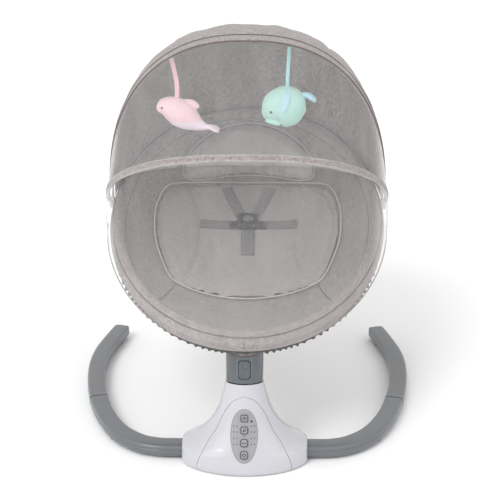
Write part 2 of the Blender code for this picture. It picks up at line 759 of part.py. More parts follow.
def side_joint(side, mirror, side_angle, reach):
    """A collar on the ring with a spigot in each tube and a bore for the bow pin."""
    tail = 0.055
    stops = [(-reach - tail, SPIGOT_RADIUS), (-reach - tail / 2, SPIGOT_RADIUS), (-reach - 0.0001, SPIGOT_RADIUS),
             (-reach, 0.0104), (-reach / 2, 0.0106), (0.0, 0.0106), (reach / 2, 0.0106), (reach, 0.0104),
             (reach + 0.0001, SPIGOT_RADIUS), (reach + tail / 2, SPIGOT_RADIUS), (reach + tail, SPIGOT_RADIUS)]
    line = [ring_point(side_angle + offset, TUBE_INSET, 0.0) for offset, _ in stops]
    if mirror:
        line = mirrored(line)
    sections = [round_section(radius, 12) for _, radius in stops]
    joint = swept(f"side_joint_{side}", line, lambda i: sections[i], slate(), SEAT_UP)
    sign = -1 if mirror else 1
    bore = rod(f"cut_side_joint_{side}", seat(PIVOT_S, sign * 0.2320, 0), seat(PIVOT_S, sign * 0.260, 0), 0.0042,
               slate(), 16)
    cut(joint, bore)
    return joint


def bow_pins():
    """A headed pin at each side, through both bows' eyes into the side joint."""
    pins = []
    for side, sign in (("left", -1), ("right", 1)):
        out = Vector((sign, 0, 0))
        start = seat(PIVOT_S, sign * 0.2325, 0)
        pins.append(turned(f"bow_pin_{side}", start, out, [(0, 0.0038), (0.0265, 0.0038), (0.02651, 0.0070),
                                                           (0.0281, 0.0066)], steel(), 16))
    return pins


def seat_bracket():
    """A cross piece between the front tubes, with an arm down to a drum on the recline pin."""
    half = 0.1886
    tail = 0.072
    stops = [(-half - tail, SPIGOT_RADIUS), (-half - tail / 2, SPIGOT_RADIUS), (-half - 0.0001, SPIGOT_RADIUS),
             (-half, 0.0105), (-half / 2, 0.0105), (0.0, 0.0105), (half / 2, 0.0105), (half, 0.0105),
             (half + 0.0001, SPIGOT_RADIUS), (half + tail / 2, SPIGOT_RADIUS), (half + tail, SPIGOT_RADIUS)]
    line = [ring_point(-pi / 2 + offset, TUBE_INSET, 0.0) for offset, _ in stops]
    sections = [round_section(radius, 12) for _, radius in stops]
    bracket = swept("seat_bracket", line, lambda i: sections[i], slate(), SEAT_UP)
    top = ring_point(-pi / 2, TUBE_INSET, -0.004)
    way = RECLINE_AXIS - top
    arm = box("join_bracket_arm", (top + RECLINE_AXIS) / 2, Vector((1, 0, 0)),
              way.normalized().cross(Vector((1, 0, 0))), way.normalized(), (0.030, 0.016, way.length), slate())
    join(bracket, arm)
    join(bracket, rod("join_bracket_drum", RECLINE_AXIS + Vector((-0.020, 0, 0)), RECLINE_AXIS + Vector((0.020, 0, 0)),
                      0.0115, slate(), 24))
    cut(bracket, rod("cut_bracket_pin", RECLINE_AXIS + Vector((-0.03, 0, 0)), RECLINE_AXIS + Vector((0.03, 0, 0)),
                     0.0044, slate(), 16))
    return bracket


def over_bowl(s, x, lift):
    """A point that stands off the bowl's inner surface by a lift, square to it."""
    step = 0.002
    slope_s = (bowl_height(s + step, x) - bowl_height(s - step, x)) / (2 * step)
    slope_x = (bowl_height(s, x + step) - bowl_height(s, x - step)) / (2 * step)
    size = (1 + slope_s ** 2 + slope_x ** 2) ** 0.5
    return seat(s - slope_s * lift / size, x - slope_x * lift / size, bowl_height(s, x) + lift / size)


def cushion(name, spot, thickness):
    """A padded insert on the bowl. spot gives (s, x) for a reach from 0 to 1 and an angle."""
    steps = 24
    tops = []
    unders = []
    for reach in (1.0, 0.94, 0.80, 0.60, 0.38, 0.14):
        places = [spot(reach, 2 * pi * i / steps) for i in range(steps)]
        fill = 0.4 if reach == 1.0 else 1.0
        tops.append([over_bowl(s, x, PAD_LIFT + thickness * fill) for s, x in places])
        unders.append([over_bowl(s, x, PAD_LIFT) for s, x in places])
    return loft(name, unders[::-1] + tops, cloth(), smooth=50)


def pad_spot(reach, angle):
    """The seat pad's outline: a squarish oval in the bottom of the bowl."""
    x = PAD_HALF_X * reach * copysign(abs(cos(angle)) ** 0.83, cos(angle))
    s = PAD_CENTRE + PAD_HALF_S * reach * copysign(abs(sin(angle)) ** 0.83, sin(angle))
    return s, x


def pillow_spot(reach, angle):
    """The head pillow's outline, set around the rear wall of the bowl."""
    around = pi / 2 - PILLOW_TURN * reach * cos(angle)
    out = PILLOW_REACH + PILLOW_HALF * reach * sin(angle)
    return RING_A + (RING_A - BOWL_INSET) * out * sin(around), (RING_B - BOWL_INSET) * out * cos(around)


def strap(name, points, width, look=None):
    """Flat webbing laid over the pad, from points (s, x) of its middle line."""
    top = []
    bottom = []
    for i, (s, x) in enumerate(points):
        s2, x2 = points[min(i + 1, len(points) - 1)]
        s1, x1 = points[max(i - 1, 0)]
        length = hypot(s2 - s1, x2 - x1)
        side_s, side_x = -(x2 - x1) / length, (s2 - s1) / length
        row = [(s + side_s * width * k / 2, x + side_x * width * k / 2) for k in (-1, 0, 1)]
        top.append([over_bowl(a, b, STRAP_LIFT + 0.0016) for a, b in row])
        bottom.append([over_bowl(a, b, STRAP_LIFT) for a, b in row])
    return sheet_solid(name, top, bottom, look or webbing())


def straight(start, end, steps):
    return [(start[0] + (end[0] - start[0]) * i / steps, start[1] + (end[1] - start[1]) * i / steps)
            for i in range(steps + 1)]


def harness():
    pieces = [strap("crotch_strap", straight((0.345, 0), (BUCKLE_S - BUCKLE_HALF - 0.001, 0), 4), 0.026)]
    for side, sign in (("left", -1), ("right", 1)):
        tongue_end = BUCKLE_HALF + 0.016
        pieces.append(strap(f"waist_strap_{side}", straight((BUCKLE_S - 0.006, sign * 0.098),
                                                            (BUCKLE_S - 0.006, sign * (tongue_end + 0.001)), 4), 0.024))
        pieces.append(strap(f"shoulder_strap_{side}", straight((0.545, sign * 0.046), (BUCKLE_S + BUCKLE_HALF + 0.002,
                                                                                       sign * 0.014), 6), 0.022))
        pieces.append(strap(f"buckle_tongue_{side}", straight((BUCKLE_S - 0.006, sign * tongue_end),
                                                              (BUCKLE_S - 0.006, sign * (BUCKLE_HALF + 0.0006)), 2),
                            0.024, black()))
    centre = over_bowl(BUCKLE_S, 0, STRAP_LIFT + 0.0064)
    buckle = box("buckle_body", centre, Vector((1, 0, 0)), SEAT_REAR, SEAT_UP,
                 (2 * BUCKLE_HALF, 2 * BUCKLE_HALF, 0.012), black(), 0.003)
    cut(buckle, rod("cut_buckle_button", centre - SEAT_UP * 0.001, centre + SEAT_UP * 0.02, 0.0104, black(), 24))
    button = rod("buckle_button", centre + SEAT_UP * 0.0022, centre + SEAT_UP * 0.0068, 0.0100, slate(), 24)
    hang_on(pivot("buckle_button_slide", centre), button)
    return pieces + [buckle]


# ---------------------------------------------------------------- hood, net and toys
def bow_direction(angle):
    return SEAT_REAR * cos(angle) + SEAT_UP * sin(angle)


def bow_point(turn, angle, half_width, height, power=BOW_ROUND):
    """A point of an arch over the seat: turn runs from the right pivot over the top to the left one."""
    c = cos(turn)
    s = sin(turn)
    x = half_width * copysign(abs(c) ** (2 / power), c)
    r = height * s ** (2 / power)
    return seat(PIVOT_S, x, 0) + bow_direction(angle) * r


def bow(name, half_width, angle):
    """A spring-steel wire arch with a flat eye at each end."""
    start = 0.020
    low = sin_to_angle((start / BOW_HEIGHT) ** (BOW_ROUND / 2))
    turns = [low + (pi - 2 * low) * i / 28 for i in range(29)]
    line = [bow_point(t, angle, half_width, BOW_HEIGHT) for t in turns]
    wire = swept(name, line, round_section(WIRE_RADIUS, 6), steel(), up=bow_direction(angle).cross(Vector((1, 0, 0))))
    for side, sign in (("left", -1), ("right", 1)):
        centre = seat(PIVOT_S, sign * half_width, 0)
        face = Vector((sign, 0, 0))
        eye = rod(f"join_{name}_eye_{side}", centre - face * WIRE_RADIUS, centre + face * WIRE_RADIUS, 0.0110,
                  steel(), 20)
        tab = box(f"join_{name}_tab_{side}", centre + bow_direction(angle) * 0.0155, Vector((1, 0, 0)),
                  bow_direction(angle).cross(Vector((1, 0, 0))), bow_direction(angle),
                  (2 * WIRE_RADIUS - 0.0004, 0.0060, 0.0210), steel())
        join(wire, eye)
        join(wire, tab)
        cut(wire, rod(f"cut_{name}_hole_{side}", centre - face * 0.004, centre + face * 0.004, 0.0042, steel(), 16))
    return wire


def hem_point(share, rear, out):
    """A point of the line outside the ring that a hem is sewn to, from the right side to the left one."""
    if rear:
        angle = REAR_HEM_START + (pi - 2 * REAR_HEM_START) * share
    else:
        angle = -FRONT_HEM_START - (pi - 2 * FRONT_HEM_START) * share
    return ring_point(angle, -out, HEM_LINE)


def canopy(name, stations, rows, look, cols=14, hem=None):
    """Cloth over the bows. Each station is (angle, half width, height, roundness, lift off the ring).

    hem is "rear" or "front" where the first or the last row is drawn in to the ring.
    """
    outer = []
    inner = []
    end = station_at(stations, 0.0 if hem == "rear" else 1.0)
    for row in range(rows + 1):
        t = row / rows
        station = station_at(stations, t)
        pull = 0.0 if not hem else (1 - t if hem == "rear" else t) ** 3
        outer_row = []
        inner_row = []
        for col in range(cols + 1):
            share = col / cols
            for thickness, line in ((0.0, inner_row), (CLOTH, outer_row)):
                point = canopy_point(station, share, thickness)
                if pull:
                    target = hem_point(share, hem == "rear", HEM_OUT + thickness)
                    point += (target - canopy_point(end, share, thickness)) * pull
                line.append(point)
        outer.append(outer_row)
        inner.append(inner_row)
    return sheet_solid(name, outer, inner, look)


def canopy_point(station, share, thickness):
    angle, half_width, height, power, lift = station
    low = sin_to_angle((CANOPY_START / height) ** (power / 2))
    turn = low + (pi - 2 * low) * share
    return bow_point(turn, angle, half_width + thickness, height + thickness, power) + SEAT_UP * lift


def station_at(stations, t):
    place = t * (len(stations) - 1)
    i = min(int(place), len(stations) - 2)
    local = place - i
    return [a + (b - a) * local for a, b in zip(stations[i], stations[i + 1])]


def hood_and_net():
    bow_axis = pivot("bow_axis", seat(PIVOT_S, 0, 0))
    hood_bow = bow("hood_bow", HOOD_BOW_X, HOOD_ANGLE)
    net_bow = bow("net_bow", NET_BOW_X, NET_ANGLE)
    over_hood = HOOD_BOW_X + CANOPY_LIFT
    over_net = NET_BOW_X + CANOPY_LIFT
    top = BOW_HEIGHT + 1.3 * CANOPY_LIFT
    hood = canopy("hood_fabric", [(radians(1), 0.2560, 0.3145, 1.95, 0.0040), (radians(25), 0.254, 0.327, 2.2, 0.010),
                                  (radians(52), over_hood, top, 2.4, 0.003), (radians(85), over_hood, top, 2.4, 0)],
                  9, cloth(), hem="rear")
    upper = canopy("net_upper", [(radians(86), over_hood, top, 2.4, 0), (radians(132), over_net, top, 2.4, 0)], 5,
                   net_cloth())
    lower = canopy("net_lower", [(radians(133), over_net, top, 2.4, 0), (radians(156), over_net, 0.368, 2.35, 0.006),
                                 (radians(180), over_net, 0.394, 2.3, -0.0040)], 6, net_cloth(),
                   hem="front")
    hang_on(bow_axis, hood_bow, net_bow, hood, upper, lower)


def toys():
    """Two plush toys on ribbons under the hood bow."""
    for name, x, ribbon_length, size, aside, look in (
            ("pink", -0.137, 0.0745, (0.050, 0.024, 0.029), 0.016, pink()),
            ("teal", 0.072, 0.0765, (0.038, 0.033, 0.036), -0.005, teal())):
        turn = pi / 2 - copysign(sin_to_angle((abs(x) / HOOD_BOW_X) ** (BOW_ROUND / 2)), x)
        top = bow_point(turn, HOOD_ANGLE, HOOD_BOW_X, BOW_HEIGHT) - Vector((0, 0, 0.0075))
        hook = pivot(f"{name}_toy_axis", top)
        ribbon = box(f"join_{name}_ribbon", top - Vector((0, 0, ribbon_length / 2)), Vector((1, 0, 0)),
                     Vector((0, 1, 0)), Vector((0, 0, 1)), (0.008, 0.0014, ribbon_length), look)
        crown = size[2] * (1 - (aside / size[0]) ** 2) ** 0.5
        middle = top + Vector((aside, 0, RIBBON_SEWN_IN - ribbon_length - crown))
        toy = ellipsoid(f"{name}_toy", middle, size, look)
        join(toy, ribbon)
        hang_on(hook, toy)


def ellipsoid(name, centre, half, look, count=20, rows=10):
    rings = []
    for row in range(rows + 1):
        angle = -pi / 2 + pi * (row + 0.35) / (rows + 0.7)
        level = centre + Vector((0, 0, half[2] * sin(angle)))
        rings.append(circle(level, Vector((1, 0, 0)), Vector((0, 1, 0)), half[0] * cos(angle), count,
                            half[1] * cos(angle)))
    return loft(name, rings, look)


# ---------------------------------------------------------------- build
def clear_scene():
    for thing in list(bpy.data.objects):
        bpy.data.objects.remove(thing, do_unlink=True)


def main():
    clear_scene()
    housing_parts()
    base_inside()
    legs()
    neck()
    recline = pivot("recline_axis", RECLINE_AXIS)
    hang_on(recline, seat_bracket(), *ring_tubes(), *bow_pins(), seat_cover())
    hang_on(recline, cushion("seat_pad", pad_spot, PAD_THICKNESS), cushion("head_pillow", pillow_spot, PILLOW_THICKNESS))
    hang_on(recline, *harness())
    hood_and_net()
    toys()


main()
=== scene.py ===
"""Looks of the electric baby swing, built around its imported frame.

Metres, +Z up, the front faces -Y. s, x and n are the seat ring's own coordinates: s runs to the rear, n is square
to the ring.
"""

from math import asin, copysign, cos, exp, hypot, log, pi, radians, sin, sqrt

import bmesh
import bpy
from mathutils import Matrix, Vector, noise


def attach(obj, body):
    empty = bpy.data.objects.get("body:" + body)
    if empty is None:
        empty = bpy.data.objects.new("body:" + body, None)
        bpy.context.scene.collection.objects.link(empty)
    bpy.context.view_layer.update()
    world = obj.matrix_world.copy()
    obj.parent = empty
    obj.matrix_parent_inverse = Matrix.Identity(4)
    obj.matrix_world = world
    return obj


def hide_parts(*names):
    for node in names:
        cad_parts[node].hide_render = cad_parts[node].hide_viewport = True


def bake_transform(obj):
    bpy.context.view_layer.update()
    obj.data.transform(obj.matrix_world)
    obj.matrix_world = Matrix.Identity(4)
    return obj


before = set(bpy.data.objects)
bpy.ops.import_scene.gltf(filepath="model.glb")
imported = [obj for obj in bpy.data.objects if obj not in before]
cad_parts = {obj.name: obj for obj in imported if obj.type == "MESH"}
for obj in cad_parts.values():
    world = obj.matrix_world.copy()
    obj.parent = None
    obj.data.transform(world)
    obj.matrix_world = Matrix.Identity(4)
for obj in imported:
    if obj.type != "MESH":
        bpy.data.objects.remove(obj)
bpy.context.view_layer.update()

# ---------------------------------------------------------------- dimensions shared with the CAD
X = Vector((1, 0, 0))
Y = Vector((0, 1, 0))
Z = Vector((0, 0, 1))
RING_FRONT = Vector((0, -0.047, 0.2375))
RECLINE = radians(17.5)
REAR = Vector((0, cos(RECLINE), sin(RECLINE)))
UP = Vector((0, -sin(RECLINE), cos(RECLINE)))
RING_A, RING_B = 0.350, 0.255
BOWL_INSET, BOWL_DEPTH, BOWL_RIM = 0.030, 0.106, -0.004
PIVOT_S = 0.390
BOW_HEIGHT, HOOD_BOW_X, NET_BOW_X, BOW_ROUND = 0.331, 0.2522, 0.2566, 2.4
HOOD_ANGLE, NET_ANGLE = radians(81.6), radians(129.5)
SWING_TILT = radians(12)
SWING_HEIGHT = 0.1475
SWING_ORIGIN = Vector((0, 0, SWING_HEIGHT))
AXIS = Vector((0, sin(SWING_TILT), cos(SWING_TILT)))
BACK = Vector((0, cos(SWING_TILT), -sin(SWING_TILT)))
NECK_RADIUS = 0.0325
PAD_LIFT, PAD_THICKNESS = 0.004, 0.012
STRAP_LIFT = 0.0185
SEAM_RADIUS = 0.0013
HOOD_SEAMS = (1.02, 2.06)
CANOPY_START = 0.034
HOUSING = [(0.0015, 0.116, 0.075), (0.007, 0.118, 0.077), (0.020, 0.117, 0.0752), (0.030, 0.113, 0.0725),
           (0.038, 0.1005, 0.0693), (0.050, 0.081, 0.0632), (0.070, 0.0622, 0.0543), (0.096, 0.048, 0.045),
           (0.127, 0.0385, 0.0375), (0.1475, 0.0335, 0.0335)]
RELEASE_UP, RELEASE_HALF_X, RELEASE_HALF_UP = 0.0265, 0.0100, 0.0158
HOUSING_END = 0.110
ARCH = [(0.083, 0.0), (0.0795, 0.0215), (0.0675, 0.044), (0.049, 0.071), (0.034, 0.103), (0.018, 0.126), (0.0, 0.135)]
PANEL_Z, PANEL_X, PANEL_H = 0.0692, 0.0232, 0.0436
LEG_LINE = [(0.086, -0.002), (0.120, -0.002), (0.155, 0.000), (0.190, 0.014), (0.2282, 0.052), (0.2600, 0.118),
            (0.2792, 0.187), (0.2893, 0.248), (0.2935, 0.310), (0.2903, 0.366), (0.2790, 0.420), (0.2612, 0.486)]
LEG_WIDTH, LEG_HEIGHT, LEG_BOTTOM, LEG_SPLIT = 0.033, 0.0225, 0.0038, 0.172


# ---------------------------------------------------------------- material nodes
def node(tree, kind, settings=None, **inputs):
    made = tree.nodes.new("ShaderNode" + kind)
    for key, value in (settings or {}).items():
        setattr(made, key, value)
    for key, value in inputs.items():
        name = key.replace("_", " ")
        socket = made.inputs[int(key[1:])] if key[1:].isdigit() else made.inputs[name]
        if isinstance(value, bpy.types.NodeSocket):
            tree.links.new(value, socket)
        else:
            socket.default_value = value
    return made


def new_look(name, **sockets):
    """A material with its Principled shader's plain values set, and its node tree."""
    material = bpy.data.materials.new(name)
    material.use_nodes = True
    tree = material.node_tree
    shader = tree.nodes["Principled BSDF"]
    for key, value in sockets.items():
        shader.inputs[key.replace("_", " ")].default_value = value
    return material, tree, shader


def math(tree, operation, a, b=0.0, c=0.0):
    return node(tree, "Math", {"operation": operation}, i0=a, i1=b, i2=c).outputs[0]


def place(tree, source, scale=(1, 1, 1)):
    coords = node(tree, "TexCoord").outputs[source]
    return node(tree, "Mapping", Vector=coords, Scale=scale).outputs[0]


def noisy(tree, vector, scale, detail=2.0, roughness=0.5):
    return node(tree, "TexNoise", Vector=vector, Scale=scale, Detail=detail, Roughness=roughness).outputs["Fac"]


def ramp(tree, value, stops):
    made = node(tree, "ValToRGB", Fac=value)
    band = made.color_ramp
    while len(band.elements) < len(stops):
        band.elements.new(0.5)
    for element, (position, colour) in zip(band.elements, stops):
        element.position = position
        element.color = (*colour, 1.0)
    return made.outputs["Color"]


def mixed(tree, amount, a, b, how="MIX"):
    made = tree.nodes.new("ShaderNodeMix")
    made.data_type = "RGBA"
    made.blend_type = how
    for index, value in ((0, amount), (6, a), (7, b)):
        if isinstance(value, bpy.types.NodeSocket):
            tree.links.new(value, made.inputs[index])
        else:
            made.inputs[index].default_value = (*value, 1.0) if isinstance(value, tuple) else value
    return made.outputs[2]


def raise_by(tree, shader, height, distance, strength=1.0, below=None):
    extra = {"Normal": below} if below is not None else {}
    bump = node(tree, "Bump", Height=height, Distance=distance, Strength=strength, **extra)
    tree.links.new(bump.outputs[0], shader.inputs["Normal"])
    return bump.outputs[0]


def scaled(colour, factor):
    return tuple(min(1.0, c * factor) for c in colour)


def woven(name, colour, contrast=0.26, thread=0.0011, roughness=0.92, sheen=0.25, worn=0.08):
    """Heathered cloth: slubs along both threads, a plain weave in relief and a slow change of shade."""
    material, tree, shader = new_look(name, Roughness=roughness, Sheen_Weight=sheen, Sheen_Roughness=0.6,
                                      Specular_IOR_Level=0.2)
    warp = noisy(tree, place(tree, "UV", (1 / thread, 60, 1)), 1.0, 3.0, 0.6)
    weft = noisy(tree, place(tree, "UV", (60, 1 / thread, 1)), 1.0, 3.0, 0.6)
    slubs = math(tree, "ADD", noisy(tree, place(tree, "UV", (420, 110, 1)), 1.0, 3.0, 0.7),
                 noisy(tree, place(tree, "UV", (110, 420, 1)), 1.0, 3.0, 0.7))
    fine = math(tree, "MULTIPLY", math(tree, "ADD", warp, weft), 0.22)
    heather = math(tree, "MULTIPLY_ADD", slubs, 0.28, fine)
    shade = ramp(tree, heather, [(0.42, scaled(colour, 1 - contrast)), (0.58, scaled(colour, 1 + contrast))])
    slow = noisy(tree, place(tree, "Object"), 7.0, 3.0, 0.6)
    slow_shade = ramp(tree, slow, [(0.30, (1 - worn,) * 3), (0.70, (1.0, 1.0, 1.0))])
    tree.links.new(mixed(tree, 1.0, shade, slow_shade, "MULTIPLY"), shader.inputs["Base Color"])
    bands = {"wave_type": "BANDS", "wave_profile": "SIN"}
    rate = 2 * pi / (20 * thread)
    over = node(tree, "TexWave", {**bands, "bands_direction": "X"}, Vector=place(tree, "UV"), Scale=rate,
                Distortion=0.6, Detail=1.0).outputs["Fac"]
    across = node(tree, "TexWave", {**bands, "bands_direction": "Y"}, Vector=place(tree, "UV"), Scale=rate,
                  Distortion=0.6, Detail=1.0).outputs["Fac"]
    weave = math(tree, "MULTIPLY_ADD", math(tree, "ADD", over, across), 0.5, math(tree, "MULTIPLY", heather, 0.6))
    raise_by(tree, shader, weave, thread * 0.22)
    return material


def plush(name, colour, belly=None, along=0.0, sheen=0.5):
    """Short-pile plush. A paler belly can start under a height."""
    material, tree, shader = new_look(name, Roughness=0.95, Sheen_Weight=sheen, Sheen_Roughness=0.4,
                                      Specular_IOR_Level=0.15)
    spots = noisy(tree, place(tree, "Object"), 520.0, 4.0, 0.7)
    shade = ramp(tree, spots, [(0.30, scaled(colour, 0.86)), (0.70, scaled(colour, 1.06))])
    if belly:
        height = node(tree, "SeparateXYZ", Vector=place(tree, "Object")).outputs["Z"]
        wobble = math(tree, "MULTIPLY_ADD", noisy(tree, place(tree, "Object"), 40.0), 0.006, height)
        edge = node(tree, "MapRange", Value=wobble, From_Min=along, From_Max=along + 0.004).outputs[0]
        shade = mixed(tree, edge, belly, shade)
    tree.links.new(shade, shader.inputs["Base Color"])
    pile = node(tree, "TexVoronoi", Vector=place(tree, "Object"), Scale=900.0).outputs["Distance"]
    both = math(tree, "MULTIPLY_ADD", pile, 0.5, spots)
    raise_by(tree, shader, both, 0.0007, 0.8)
    return material


def moulded(name, colour, roughness=0.4, grain=0.00004, grain_size=1500.0, worn=0.06, coat=0.0, edge=0.10):
    """Moulded plastic: fine grain, cloudy gloss, and convex edges brightened towards white as a painted highlight."""
    material, tree, shader = new_look(name, Coat_Weight=coat, Coat_Roughness=0.12)
    where = place(tree, "Object")
    cloud = noisy(tree, where, 22.0, 4.0, 0.6)
    base = ramp(tree, cloud, [(0.30, scaled(colour, 1 - worn)), (0.75, scaled(colour, 1 + worn * 0.4))])
    # Painted highlight: convex edges found by pointiness are mixed towards a paler colour, made patchy by noise; edge
    # sets how far.
    point = node(tree, "NewGeometry").outputs["Pointiness"]
    edge_highlight_mask = node(tree, "MapRange", Value=point, From_Min=0.52, From_Max=0.60).outputs[0]
    broken_edge_highlight = math(tree, "MULTIPLY", edge_highlight_mask, noisy(tree, where, 160.0, 3.0, 0.6))
    highlight_colour = tuple(c + (1 - c) * edge for c in colour)
    tree.links.new(mixed(tree, broken_edge_highlight, base, highlight_colour), shader.inputs["Base Color"])
    gloss = node(tree, "MapRange", Value=noisy(tree, where, 60.0, 5.0, 0.7), To_Min=roughness - 0.05,
                 To_Max=roughness + 0.07).outputs[0]
    tree.links.new(gloss, shader.inputs["Roughness"])
    raise_by(tree, shader, noisy(tree, where, grain_size, 2.0, 0.6), grain)
    return material


def metal(name, colour, roughness=0.3, streak=(900, 20, 900)):
    material, tree, shader = new_look(name, Metallic=1.0)
    lines = noisy(tree, place(tree, "Object", streak), 1.0, 3.0, 0.6)
    tree.links.new(ramp(tree, lines, [(0.25, scaled(colour, 0.82)), (0.75, scaled(colour, 1.08))]),
                   shader.inputs["Base Color"])
    rough = node(tree, "MapRange", Value=lines, To_Min=roughness - 0.06, To_Max=roughness + 0.10).outputs[0]
    tree.links.new(rough, shader.inputs["Roughness"])
    raise_by(tree, shader, lines, 0.00002)
    return material


def netting(name, colour, pitch=0.0013, cover=0.17, side_cover=0.4, side=0.10, breadth=0.9):
    """Fly net: two sets of fine threads with holes between them, closer where it gathers at the two sides."""
    material, tree, shader = new_look(name, Roughness=0.8, Sheen_Weight=0.3, Specular_IOR_Level=0.3)
    uv = node(tree, "SeparateXYZ", Vector=place(tree, "UV"))
    slack = noisy(tree, place(tree, "UV", (26, 5, 1)), 1.0, 4.0, 0.6)
    from_side = math(tree, "SUBTRACT", breadth / 2, math(tree, "ABSOLUTE", uv.outputs["X"]))
    gathered = node(tree, "MapRange", {"interpolation_type": "SMOOTHSTEP"}, Value=from_side, From_Min=0.0,
                    From_Max=side, To_Min=side_cover, To_Max=cover).outputs[0]
    cloudy = math(tree, "MULTIPLY", gathered, math(tree, "MULTIPLY_ADD", slack, 0.9, 0.55))
    threads = []
    for sign in (1.0, -1.0):
        diagonal = math(tree, "MULTIPLY_ADD", uv.outputs["Y"], sign, uv.outputs["X"])
        phase = math(tree, "FRACT", math(tree, "DIVIDE", diagonal, pitch * 1.414))
        middle = math(tree, "ABSOLUTE", math(tree, "SUBTRACT", phase, 0.5))
        threads.append(math(tree, "LESS_THAN", middle, math(tree, "MULTIPLY", cloudy, 0.5)))
    thread = math(tree, "MAXIMUM", threads[0], threads[1])
    tree.links.new(thread, shader.inputs["Alpha"])
    tree.links.new(ramp(tree, slack, [(0.3, scaled(colour, 0.92)), (0.7, scaled(colour, 1.05))]),
                   shader.inputs["Base Color"])
    raise_by(tree, shader, slack, 0.0004)
    return material


LINEN = (0.330, 0.297, 0.288)
look = {
    "linen": woven("linen_grey", LINEN, 0.44),
    "liner": woven("linen_liner", (0.335, 0.300, 0.290), 0.20, 0.0009),
    "pad": woven("pad_grey", (0.378, 0.348, 0.338), 0.20, 0.0009, sheen=0.35),
    "pillow": woven("pillow_grey", (0.510, 0.486, 0.478), 0.12, 0.0009, sheen=0.35),
    "piping": woven("piping_grey", (0.60, 0.575, 0.565), 0.10, 0.0007),
    "dark_piping": woven("piping_dark", (0.150, 0.125, 0.120), 0.18, 0.0007),
    # Seam cords: the seams themselves are real; their dark colour is painted shade for the fold along each seam.
    "seam": woven("seam_painted_shade", (0.140, 0.122, 0.118), 0.12, 0.0006),
    "ruffle": woven("ruffle_dark", (0.105, 0.105, 0.110), 0.25, 0.0009),
    "stitch": woven("stitch_thread", (0.47, 0.44, 0.43), 0.15, 0.0003),
    "webbing": woven("webbing_grey", (0.185, 0.180, 0.180), 0.22, 0.0016, 0.75),
    "net_upper": netting("net_upper_mesh", (0.82, 0.81, 0.81), cover=0.105, side_cover=0.66, side=0.16, breadth=0.86),
    "net_lower": netting("net_lower_mesh", (0.80, 0.79, 0.79), cover=0.07, side_cover=0.52, side=0.17, breadth=0.86),
    "white": moulded("gloss_white", (0.515, 0.515, 0.548), 0.16, 0.00001, 900.0, 0.012, 0.6, 0.3),
    "slate": moulded("slate_plastic", (0.138, 0.147, 0.159), 0.32, 0.00004, 1300.0, 0.05, 0.25),
    "neck": moulded("slate_gloss", (0.088, 0.102, 0.113), 0.22, 0.00002, 1300.0, 0.04, 0.35),
    "panel": moulded("panel_grey", (0.315, 0.312, 0.326), 0.38, 0.00003, 1800.0, 0.03),
    "ink": moulded("printed_ink", (0.030, 0.031, 0.034), 0.5, 0.00002, 1800.0, 0.10),
    "black": moulded("black_plastic", (0.022, 0.022, 0.024), 0.42, 0.00005, 1400.0, 0.12),
    "rubber": moulded("foot_rubber", (0.020, 0.020, 0.020), 0.75, 0.00008, 900.0, 0.20),
    "board": moulded("circuit_board", (0.020, 0.130, 0.055), 0.35, 0.00003, 700.0, 0.25),
    "steel": metal("bare_steel", (0.62, 0.62, 0.64), 0.28),
    "tube": metal("ring_tube", (0.45, 0.46, 0.48), 0.34),
    "copper": metal("coil_copper", (0.72, 0.38, 0.22), 0.35, (1500, 1500, 60)),
    "magnet": metal("magnet_nickel", (0.70, 0.68, 0.64), 0.22),
    "pink": plush("plush_pink", (0.93, 0.63, 0.70), (0.90, 0.74, 0.84), 0.5325),
    "pink_ribbon": woven("ribbon_pink", (0.88, 0.50, 0.60), 0.10, 0.0007),
    "teal": plush("plush_teal", (0.43, 0.76, 0.66)),
    "teal_blue": plush("plush_blue", (0.44, 0.72, 0.82)),
    "teal_ribbon": woven("ribbon_teal", (0.36, 0.70, 0.72), 0.10, 0.0007),
    "eye": moulded("eye_thread", (0.03, 0.03, 0.035), 0.3, 0.00002, 2000.0, 0.1, 0.5),
}


# ---------------------------------------------------------------- mesh helpers
def mesh_object(name, verts, faces, material, uvs=None, smooth=60.0):
    mesh = bpy.data.meshes.new(name)
    mesh.from_pydata([tuple(v) for v in verts], [], faces)
    made = bpy.data.objects.new(name, mesh)
    bpy.context.scene.collection.objects.link(made)
    mesh.materials.append(material)
    layer = mesh.uv_layers.new(name="UVMap")
    if uvs:
        for loop in mesh.loops:
            layer.data[loop.index].uv = uvs[loop.vertex_index]
    mesh.shade_smooth()
    if smooth:
        mesh.set_sharp_from_angle(angle=radians(smooth))
    return made


def outward(made):
    work = bmesh.new()
    work.from_mesh(made.data)
    bmesh.ops.remove_doubles(work, verts=work.verts, dist=1e-6)
    bmesh.ops.recalc_face_normals(work, faces=work.faces)
    work.to_mesh(made.data)
    work.free()
    return made


def settle(made):
    """Applies every modifier."""
    bpy.context.view_layer.update()
    seen = made.evaluated_get(bpy.context.evaluated_depsgraph_get())
    mesh = bpy.data.meshes.new_from_object(seen)
    made.modifiers.clear()
    made.data = mesh
    return made


def modified(made, kind, **settings):
    added = made.modifiers.new(kind.lower(), kind)
    for key, value in settings.items():
        setattr(added, key, value)
    return settle(made)


def closed_faces(rows, ring):
    """Vertices and faces of rows of looped points; ring joins the last row to the first, or caps close the ends."""
    count = len(rows[0])
    verts = [p for row in rows for p in row]
    faces = []
    for i in range(len(rows) if ring else len(rows) - 1):
        a, b = i * count, ((i + 1) % len(rows)) * count
        for j in range(count):
            k = (j + 1) % count
            faces.append((a + j, a + k, b + k, b + j))
    if not ring:
        faces.append(tuple(range(count))[::-1])
        faces.append(tuple(range(len(verts) - count, len(verts))))
    return verts, faces


